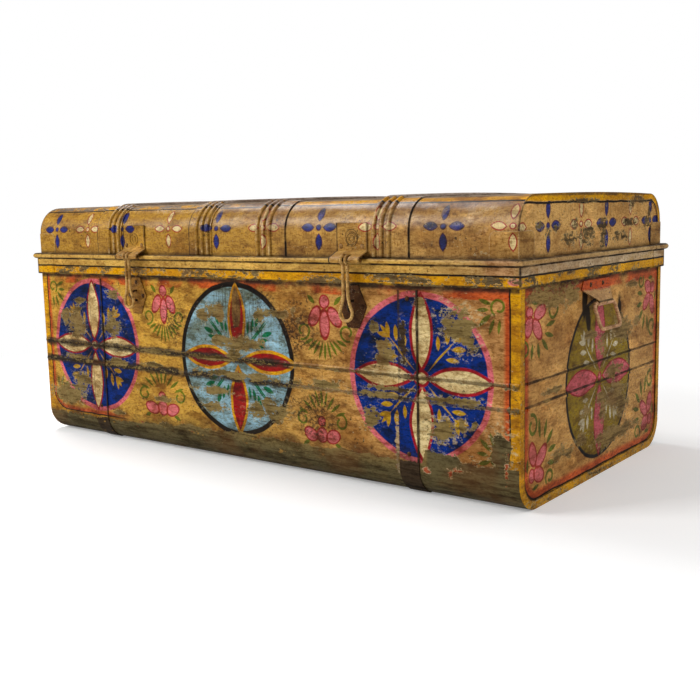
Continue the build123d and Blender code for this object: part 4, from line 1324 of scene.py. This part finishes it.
BAND_RIB = 283.3  # the middle rib of both outer bands
INNER_RIB = 65.8  # the middle rib of both inner bands, from a middle that lies a little left
INNER_MIDDLE = -1.5
RIB_PITCH = 12.3
GROOVE = 4.2  # from the crest of a rib to the groove beside it


def make_lid_band():
    """Band over the lid: painted with the wall in front, rubbed to pale iron on the top."""
    material, tree, shader, at = start_material("lid_band_paint")
    x, _, z = split_xyz(at)
    painting = use_group(tree, lid_painting, At=at)
    ragged = cloud(at, 22, 5, 0.65)
    rubbed = painting["Top"] * rise(z + ragged * 6.0, 412, 420)
    # three ribs to a band: distance from the middle one, and from the nearest of the three
    off_ribs = lowest(absolute(absolute(x) - BAND_RIB), absolute(absolute(x - INNER_MIDDLE) - INNER_RIB))
    off_rib = lowest(off_ribs, absolute(off_ribs - RIB_PITCH))
    groove = rise(absolute(off_rib - GROOVE), 1.5, 0.7) * rise(off_ribs, 18, 17) * rise(x, -200, -190)
    highlight_area = rise(off_rib, 2.6, 1.2)
    # painted highlight: the crests of the ribs are painted pale
    colour = blend(highlight_area * rise(ragged, 0.46, 0.60) * 0.7, painting["Colour"], screen(226, 200, 150))
    aged = use_group(
        tree, old_paint, Paint=colour, At=at, Bare=highest(painting["Bare"], rubbed), Wear=0.50,
        Dirt=0.7, Grime=highest(rubbed * 0.12, painting["Grime"], groove * 0.30), Metal=screen(186, 166, 150),
    )
    finish_material(tree, shader, aged, at, 0.5, 0.35, gloss=0.30)
    return material


def make_lid_end():
    """Painted end of the lid, dull inside."""
    material, tree, shader, at = start_material("lid_end_paint")
    painting = use_group(tree, lid_end_painting, At=at)
    x, _, _ = split_xyz(at)
    is_outside = rise(absolute(x), 492.0, 492.4)
    colour = blend(is_outside, LID_INSIDE, painting["Colour"])
    aged = use_group(
        tree, old_paint, Paint=colour, At=at, Bare=painting["Bare"] * is_outside, Wear=0.30, Dirt=0.50,
        Grime=painting["Grime"] * is_outside, Speckle=0.6, Metal=screen(124, 102, 62),
    )
    finish_material(tree, shader, aged, at, 0.8, 0.3)
    return material


lid_sheet_paint = make_lid_sheet()
lid_band_paint = make_lid_band()
lid_end_paint = make_lid_end()
print("lid finishes:", lid_sheet_paint.name, lid_band_paint.name, lid_end_paint.name)

# %% [markdown]
# ## Rim
# A flat skirt drops over the body and a rolled bead runs above it. Both were painted in one
# go, tan above a black line and yellow below, so they share one painting. X and Y are added
# up for its wobble, so that the line runs on round a corner. The corner plates clasp the
# skirt, the bead and the lid's wall, and take each one's paint.

# %% Painting of the rim
SKIRT_CORNER = (499.4, 252.6)  # where the skirts meet, in X and Y
BLACK_LINE = (312.2, 315.0)  # heights of its lower and upper edge
TAN = screen(222, 182, 92)
PALE_TAN = screen(212, 178, 118)
ROSY_TAN = screen(190, 120, 100)
CHALKY_TAN = screen(222, 206, 180)
PINK_SPOT = (491, 307)  # one splash of paint on the skirt, by the right front corner


def make_rim():
    """Skirt and bead: tan above a black line, worn yellow below, dark lower edge, and painted shade along
    both sides of the bead.
    """
    tree, w = open_group(
        "rim_painting",
        {"At": ("vector", (0, 0, 0))},
        {"Colour": "colour", "Bare": "value", "Grime": "value"},
    )
    x, y, z = split_xyz(w["At"])
    along = x + y
    hand = use_group(tree, wobble, At=join_xyz(tree, along, z), Amount=0.9)["At"]
    _, hand_z, _ = split_xyz(hand)
    ragged = cloud(w["At"], 30, 6, 0.70, (1.8, 1.8, 1), 5.0)
    tan = blend(rise(x, 300, 495), TAN, PALE_TAN)
    rosy = rise(absolute(x - 470.0) + ragged * 30.0, 50, 30) * rise(y, 0, -10)
    tan = blend(rosy * 0.35, tan, ROSY_TAN)
    chalky = rise(x, 496, 499) * rise(ragged, 0.36, 0.54) * rise(z, 329, 326)
    tan = blend(chalky * 0.62, tan, CHALKY_TAN)
    colour = blend(rise(hand_z, 313.4, 312.2), tan, RIM_YELLOW)
    pink = inside(dab(join_xyz(tree, x, z), PINK_SPOT, 9, 5) + (ragged - 0.5) * 5.0, 1.0)
    pink = pink * rise(y, -240, -250)
    colour = blend(pink * 0.9, colour, screen(222, 132, 138))
    colour = blend(between(hand_z, *BLACK_LINE, 0.5), colour, INK)
    lip = rise(hand_z, 301.4, 300.0)
    # painted shade in thin lines under and over the bead
    shade_under_bead = between(z, 325.0, 327.9, 0.5)
    shade_over_bead = between(z, 333.6, 336.2, 0.6) * 0.9
    rubbed = rise(hand_z, 314, 312) * rise(ragged, 0.44, 0.58)
    off_end = lowest(absolute(absolute(x) - SKIRT_CORNER[0]), 90)
    corner = rise(off_end + lowest(absolute(absolute(y) - SKIRT_CORNER[1]), 90), 3.0, 1.2)
    grime_and_shade = highest(lip, shade_under_bead, shade_over_bead, corner)
    return close_group(tree, Colour=colour, Bare=rubbed * 0.85, Grime=grime_and_shade)


rim_painting = make_rim()
print("rim painting nodes:", len(rim_painting.nodes))


# %% Materials of the rim and its corner plates
def make_rim_paint():
    """Finish of the skirt and bead."""
    material, tree, shader, at = start_material("rim_paint")
    painting = use_group(tree, rim_painting, At=at)
    aged = use_group(
        tree, old_paint, Paint=painting["Colour"], At=at, Bare=painting["Bare"], Wear=0.34, Dirt=0.5,
        Grime=painting["Grime"], Metal=screen(122, 102, 62),
    )
    finish_material(tree, shader, aged, at, 0.35, 0.35)
    return material


def find_edges(tree, radius):
    """1 near the edges of a piece, within a radius in millimetres.

    A Bevel node rounds the normal near every edge, and where the rounded normal differs from
    the real one there is an edge.
    """
    rounded = tree.nodes.new("ShaderNodeBevel")
    rounded.samples = 6
    rounded.inputs["Radius"].default_value = radius * MILLIMETRE
    geometry = tree.nodes.new("ShaderNodeNewGeometry")
    alike = vector_calc("DOT_PRODUCT", Wire(tree, rounded.outputs[0]), Wire(tree, geometry.outputs["Normal"]))
    return rise(alike, 0.985, 0.90)


def make_corner_plate():
    """Corner plate: painted with the rim below and with the lid above its bead."""
    material, tree, shader, at = start_material("corner_plate_paint")
    x, _, z = split_xyz(at)
    above = rise(z, 335.6, 336.2)
    is_end = rise(absolute(x) - 498.0, 0.4, 0.8)
    rim = use_group(tree, rim_painting, At=at)
    wall = use_group(tree, lid_painting, At=at)
    end = use_group(tree, lid_end_painting, At=at)
    colour = blend(is_end, wall["Colour"], end["Colour"])
    colour = blend(above, rim["Colour"], colour)
    bare = rim["Bare"] + above * (end["Bare"] * is_end - rim["Bare"])
    over = wall["Grime"] + is_end * (end["Grime"] - wall["Grime"])
    grime_and_shade = rim["Grime"] + above * (over - rim["Grime"])
    # painted highlight: pale edges above the bead on the front and shoulder, darker edges on the end
    sharp = find_edges(tree, 1.8) * above
    colour = blend(sharp * (1.0 - is_end) * 0.8, colour, screen(220, 200, 164))
    grime_and_shade = highest(grime_and_shade, sharp * is_end * 0.8)
    aged = use_group(
        tree, old_paint, Paint=colour, At=at, Bare=bare, Wear=0.38, Dirt=0.6, Grime=grime_and_shade,
        Metal=screen(104, 86, 56),
    )
    finish_material(tree, shader, aged, at, 0.3, 0.35)
    return material


rim_paint = make_rim_paint()
corner_paint = make_corner_plate()
print("rim finishes:", rim_paint.name, corner_paint.name)

# %% [markdown]
# ## Fittings
# Plates, wires, pins and rivets were painted over with the walls and have since been rubbed
# by hands and padlocks, so the paint stays in the hollows and the edges show dark iron. On
# the plain ones, which are small, the noises of old paint are half their usual size.

# %% Plain painted fittings
def make_fitting(name, paint, metal, wear, edge_wear):
    """Painted fitting with dark rubbed edges."""
    material, tree, shader, at = start_material(name)
    sharp = find_edges(tree, 1.2)
    finer = vector_calc("SCALE", at, scale=2.0)
    aged = use_group(
        tree, old_paint, Paint=paint, At=finer, Bare=sharp * edge_wear, Wear=wear, Dirt=0.75, Metal=metal,
    )
    finish_material(tree, shader, aged, at, 0.0, 0.22, 0.12)
    return material


print("plain fittings can be finished")


# %% Hasp plate, handle plate and bare iron
RINGS_Z = 364.0  # height of the middle of the embossed rings


def make_hasp_plate():
    """Hasp plate: the lid's flowers run over it, its edges are dark and its roll is rubbed."""
    material, tree, shader, at = start_material("hasp_plate_paint")
    x, _, z = split_xyz(at)
    painting = use_group(tree, lid_painting, At=at)
    side = absolute(absolute(x) - HASP_X)
    sharp = find_edges(tree, 1.5)
    fold = rise(z, 352, 344)
    colour = blend(fold, painting["Colour"], screen(212, 170, 92))
    # a dark line down the left edge, a fainter one down the right, and rings on the right plate
    rim_line = rise(side, 24.4, 25.6) * rise(side - absolute(absolute(x + 2.0) - HASP_X), -2.2, -1.8)
    ring = vector_calc("LENGTH", join_xyz(tree, side, z - RINGS_Z))
    rings = highest(between(ring, 10.2, 11.6, 0.4), between(ring, 4.9, 6.1, 0.4)) * rise(x, -100, 0)
    ragged = cloud(at, 12, 5, 0.68)
    bare = rise(ragged, 0.56, 0.64) * 0.35
    aged = use_group(
        tree, old_paint, Paint=colour, At=at, Bare=bare, Wear=0.45, Dirt=0.7,
        Grime=highest(rim_line, sharp * (0.85 - fold * 0.65), rings * 0.7), Metal=screen(104, 84, 52),
    )
    finish_material(tree, shader, aged, at, 0.0, 0.3)
    return material


def darken_colour(colour, factor):
    """A plain colour made darker."""
    return tuple(part * factor for part in colour)


def make_bare_iron(name, colour, wear):
    """Dark handled iron with worn brighter spots and traces of rust."""
    material, tree, shader, at = start_material(name)
    patchy = cloud(at, 9, 5, 0.65)
    fine = cloud(at, 1.6, 4, 0.6)
    base = blend(rise(patchy, 0.42, 0.62), colour, darken_colour(colour, 0.55))
    base = blend(rise(cloud(at, 14, 4, 0.6, (1, 1, 1), 3.0), 0.52, 0.66) * 0.6, base, RUST)
    base = blend(rise(fine, 0.58, 0.70) * wear, base, screen(150, 128, 98))
    plug(tree, shader.inputs["Base Color"], base)
    plug(tree, shader.inputs["Roughness"], 0.42 + patchy * 0.25)
    shader.inputs["Metallic"].default_value = 0.55
    bump = tree.nodes.new("ShaderNodeBump")
    bump.inputs["Distance"].default_value = 0.3 * MILLIMETRE
    plug(tree, bump.inputs["Height"], patchy * 0.6 + fine * 0.4)
    tree.links.new(bump.outputs["Normal"], shader.inputs["Normal"])
    return material


def make_handle_plate():
    """Handle plate: orange in the painted band, tan below, a roll painted pale as its highlight, painted
    shade just above the roll, and dark edges.
    """
    material, tree, shader, at = start_material("handle_plate_paint")
    _, _, z = split_xyz(at)
    ragged = cloud(at, 14, 5, 0.68, (1.2, 1.2, 1), 6.0)
    sharp = find_edges(tree, 1.5)
    colour = blend(rise(z + (ragged - 0.5) * 14.0, 278, 282), screen(216, 170, 104), screen(206, 88, 30))
    # painted highlight: the roll is painted pale
    roll = rise(z, 264, 261)
    colour = blend(roll, colour, screen(236, 186, 146))
    bare = rise(ragged, 0.56, 0.66) * 0.6
    # painted shade in a line just above the roll, and dark edges
    grime_and_shade = highest(sharp * (1.0 - roll) * 0.95, between(z, 263.0, 265.5, 0.6) * 0.9)
    aged = use_group(
        tree, old_paint, Paint=colour, At=at, Bare=bare, Wear=0.35, Dirt=0.5, Grime=grime_and_shade,
        Metal=screen(110, 80, 52),
    )
    finish_material(tree, shader, aged, at, 0.0, 0.3)
    return material


# %% Finishes of the fittings
fitting_tan = make_fitting("fitting_tan", screen(182, 142, 88), BARE_DARK, 0.35, 0.8)
staple_brown = make_fitting("staple_brown", screen(168, 124, 56), screen(58, 42, 26), 0.56, 1.0)
fitting_dark = make_fitting("fitting_dark", screen(88, 58, 34), screen(36, 27, 22), 0.66, 0.9)
hasp_tan = make_fitting("hasp_tan", screen(222, 184, 116), screen(110, 86, 54), 0.34, 0.15)
bail_tan = make_fitting("bail_tan", screen(232, 188, 144), screen(110, 84, 62), 0.30, 0.15)
hasp_plate_paint = make_hasp_plate()
handle_paint = make_handle_plate()
pin_iron = make_bare_iron("pin_iron", screen(52, 42, 36), 0.3)
wire_iron = make_bare_iron("wire_iron", screen(66, 54, 44), 0.5)
print("materials:", len(bpy.data.materials))

# %% [markdown]
# ## Every piece gets its finish
# The pieces are named for what they are, so the start of a name says which finish it takes.
# The first start in the list that fits wins, which is why a staple's plate stands above the
# staple itself.

# %% Give every measured piece its finish
finishes = (
    ("body_sheet", body_sheet_paint),
    ("joint_strip", body_sheet_paint),
    ("body_end", end_panel_paint),
    ("body_seam", seam_yellow),
    ("lid_seam", lid_end_paint),
    ("strap", strap_paint),
    ("lid_crown", lid_sheet_paint),
    ("lid_shoulder", lid_sheet_paint),
    ("lid_band", lid_band_paint),
    ("lid_end", lid_end_paint),
    ("lid_rivets", fitting_tan),
    ("skirt", rim_paint),
    ("bead", rim_paint),
    ("corner_plate", corner_paint),
    ("staple_plate_right", fitting_dark),
    ("staple_plate_left", staple_brown),
    ("hasp_plate", hasp_plate_paint),
    ("handle_plate", handle_paint),
    ("hinge_leaf", fitting_tan),
    ("hasp_pin", pin_iron),
    ("hinge_pin", pin_iron),
    ("staple", wire_iron),
    ("hasp", hasp_tan),
    ("bail", bail_tan),
    ("body_rivets", fitting_dark),
)
for name, piece in nodes.items():
    material = next(finish for start, finish in finishes if name.startswith(start))
    for slot in piece.material_slots:
        slot.material = material
print("pieces finished:", len(nodes))

# %% [markdown]
# ## Studio
# White paper, one broad soft light from the front left, a weaker one from behind at the
# right, a softbox above the lid, and a small lamp for the streak on the front shoulder. The
# paper is white to the camera far from the chest, and near it the shadow shows. What glossy
# paint mirrors of the paper is kept dim, so that the lid does not turn milky.

# %% Floor
FLOOR_SIZE = 60
SHADOW_REACH = (900, 1500)  # the floor turns plain white between these distances


def make_floor():
    """White floor that keeps the shadow near the chest and fades to plain white far away."""
    bpy.ops.mesh.primitive_plane_add(size=FLOOR_SIZE, location=(0, 0, 0))
    floor = bpy.context.object
    floor.name = "studio_floor"
    material, tree, shader, at = start_material("studio_paper")
    shader.inputs["Base Color"].default_value = (0.92, 0.92, 0.92, 1)
    shader.inputs["Roughness"].default_value = 1.0
    shader.inputs["Specular IOR Level"].default_value = 0.0
    glow = tree.nodes.new("ShaderNodeEmission")
    glow.inputs["Color"].default_value = (1, 1, 1, 1)
    path = tree.nodes.new("ShaderNodeLightPath")
    direct = Wire(tree, path.outputs["Is Camera Ray"])
    mirrored = Wire(tree, path.outputs["Is Glossy Ray"])
    plug(tree, glow.inputs["Strength"], 1.0 - mirrored * 0.85)
    far = rise(vector_calc("LENGTH", at), *SHADOW_REACH)
    lift = tree.nodes.new("ShaderNodeEmission")
    plug(tree, lift.inputs["Strength"], direct * 0.24)
    lifted = tree.nodes.new("ShaderNodeAddShader")
    tree.links.new(shader.outputs[0], lifted.inputs[0])
    tree.links.new(lift.outputs[0], lifted.inputs[1])
    mixed = tree.nodes.new("ShaderNodeMixShader")
    plug(tree, mixed.inputs[0], highest(far * direct, mirrored * 0.8))
    tree.links.new(lifted.outputs[0], mixed.inputs[1])
    tree.links.new(glow.outputs[0], mixed.inputs[2])
    tree.links.new(mixed.outputs[0], tree.nodes["Material Output"].inputs["Surface"])
    floor.data.materials.append(material)
    return floor


floor = make_floor()
print("floor:", floor.name)


# %% Lamps
def add_softbox(name, place_at, look_at, size, power, gleam=1.0):
    """Square soft light aimed at a point. Gleam weakens what shiny surfaces show of it."""
    light = bpy.data.lights.new(name, "AREA")
    light.shape = "SQUARE"
    light.size = size
    light.energy = power
    light.specular_factor = gleam
    lamp = bpy.data.objects.new(name, light)
    bpy.context.scene.collection.objects.link(lamp)
    lamp.location = place_at
    lamp.rotation_euler = (Vector(look_at) - Vector(place_at)).to_track_quat("-Z", "Y").to_euler()
    return lamp


add_softbox("key", (-2.4, -3.0, 2.4), (0, 0, 0.2), 1.8, 104, 0.6)
add_softbox("fill", (3.2, 0.9, 2.0), (0.4, 0, 0.2), 1.5, 22, 0.4)
add_softbox("top", (-1.5, 0.3, 2.6), (0, 0, 0.3), 1.1, 32)
add_softbox("glare", (-0.98, -0.25, 2.4), (0.35, -0.23, 0.4), 0.45, 3)
print("lamps:", len(bpy.data.lights))

# %% [markdown]
# ## World
# The world is white to the camera and through glass, and a dim even light on everything
# else. Glossy paint mirrors almost nothing of it, except of the part behind the chest, which
# gives the far edge of the lid its pale sheen.

# %% World
world = bpy.data.worlds.new("studio")
bpy.context.scene.world = world
world.use_nodes = True
tree = world.node_tree
background = tree.nodes["Background"]
background.inputs["Color"].default_value = (1, 1, 1, 1)
path = tree.nodes.new("ShaderNodeLightPath")
seen = highest(Wire(tree, path.outputs["Is Camera Ray"]), Wire(tree, path.outputs["Is Transmission Ray"]))
mirrored = Wire(tree, path.outputs["Is Glossy Ray"])
towards = tree.nodes.new("ShaderNodeTexCoord")
_, backwards, upwards = split_xyz(Wire(tree, towards.outputs["Generated"]))
behind = rise(backwards, 0.25, 0.75) * rise(upwards, 0.05, 0.25)
plug(tree, background.inputs["Strength"], highest(seen, 0.42 - mirrored * 0.37 + mirrored * behind * 0.42))
bpy.context.scene.view_settings.view_transform = "Standard"
print("studio ready")

# %% [markdown]
# ## Camera
# The camera stands to the right of the front, a little lower than the top of the lid, and
# looks down by 8 degrees, so that the front, one end and the lid's shoulder are seen
# together. Yaw, pitch and roll are angles in radians.

# %% Camera
PICTURE_WIDTH = 700  # in pixels, as is the focal length
FOCAL_LENGTH = 983.552
SENSOR_WIDTH = 36
CAMERA_AT = (1.0779, -1.361618, 0.40271)
yaw, pitch, roll = 0.654, 0.142, -0.023
forward = Vector((-math.sin(yaw) * math.cos(pitch), math.cos(yaw) * math.cos(pitch), -math.sin(pitch)))
level = Vector((math.cos(yaw), math.sin(yaw), 0))
upward = level.cross(forward)
right = level * math.cos(roll) + upward * math.sin(roll)
above = upward * math.cos(roll) - level * math.sin(roll)
camera_data = bpy.data.cameras.new("camera")
camera_data.sensor_width = SENSOR_WIDTH
camera_data.lens = FOCAL_LENGTH * SENSOR_WIDTH / PICTURE_WIDTH
camera = bpy.data.objects.new("camera", camera_data)
bpy.context.scene.collection.objects.link(camera)
turn = Matrix((right, above, -forward)).transposed().to_4x4()
camera.matrix_world = Matrix.Translation(CAMERA_AT) @ turn
bpy.context.scene.camera = camera
print("camera lens", round(camera_data.lens, 2))
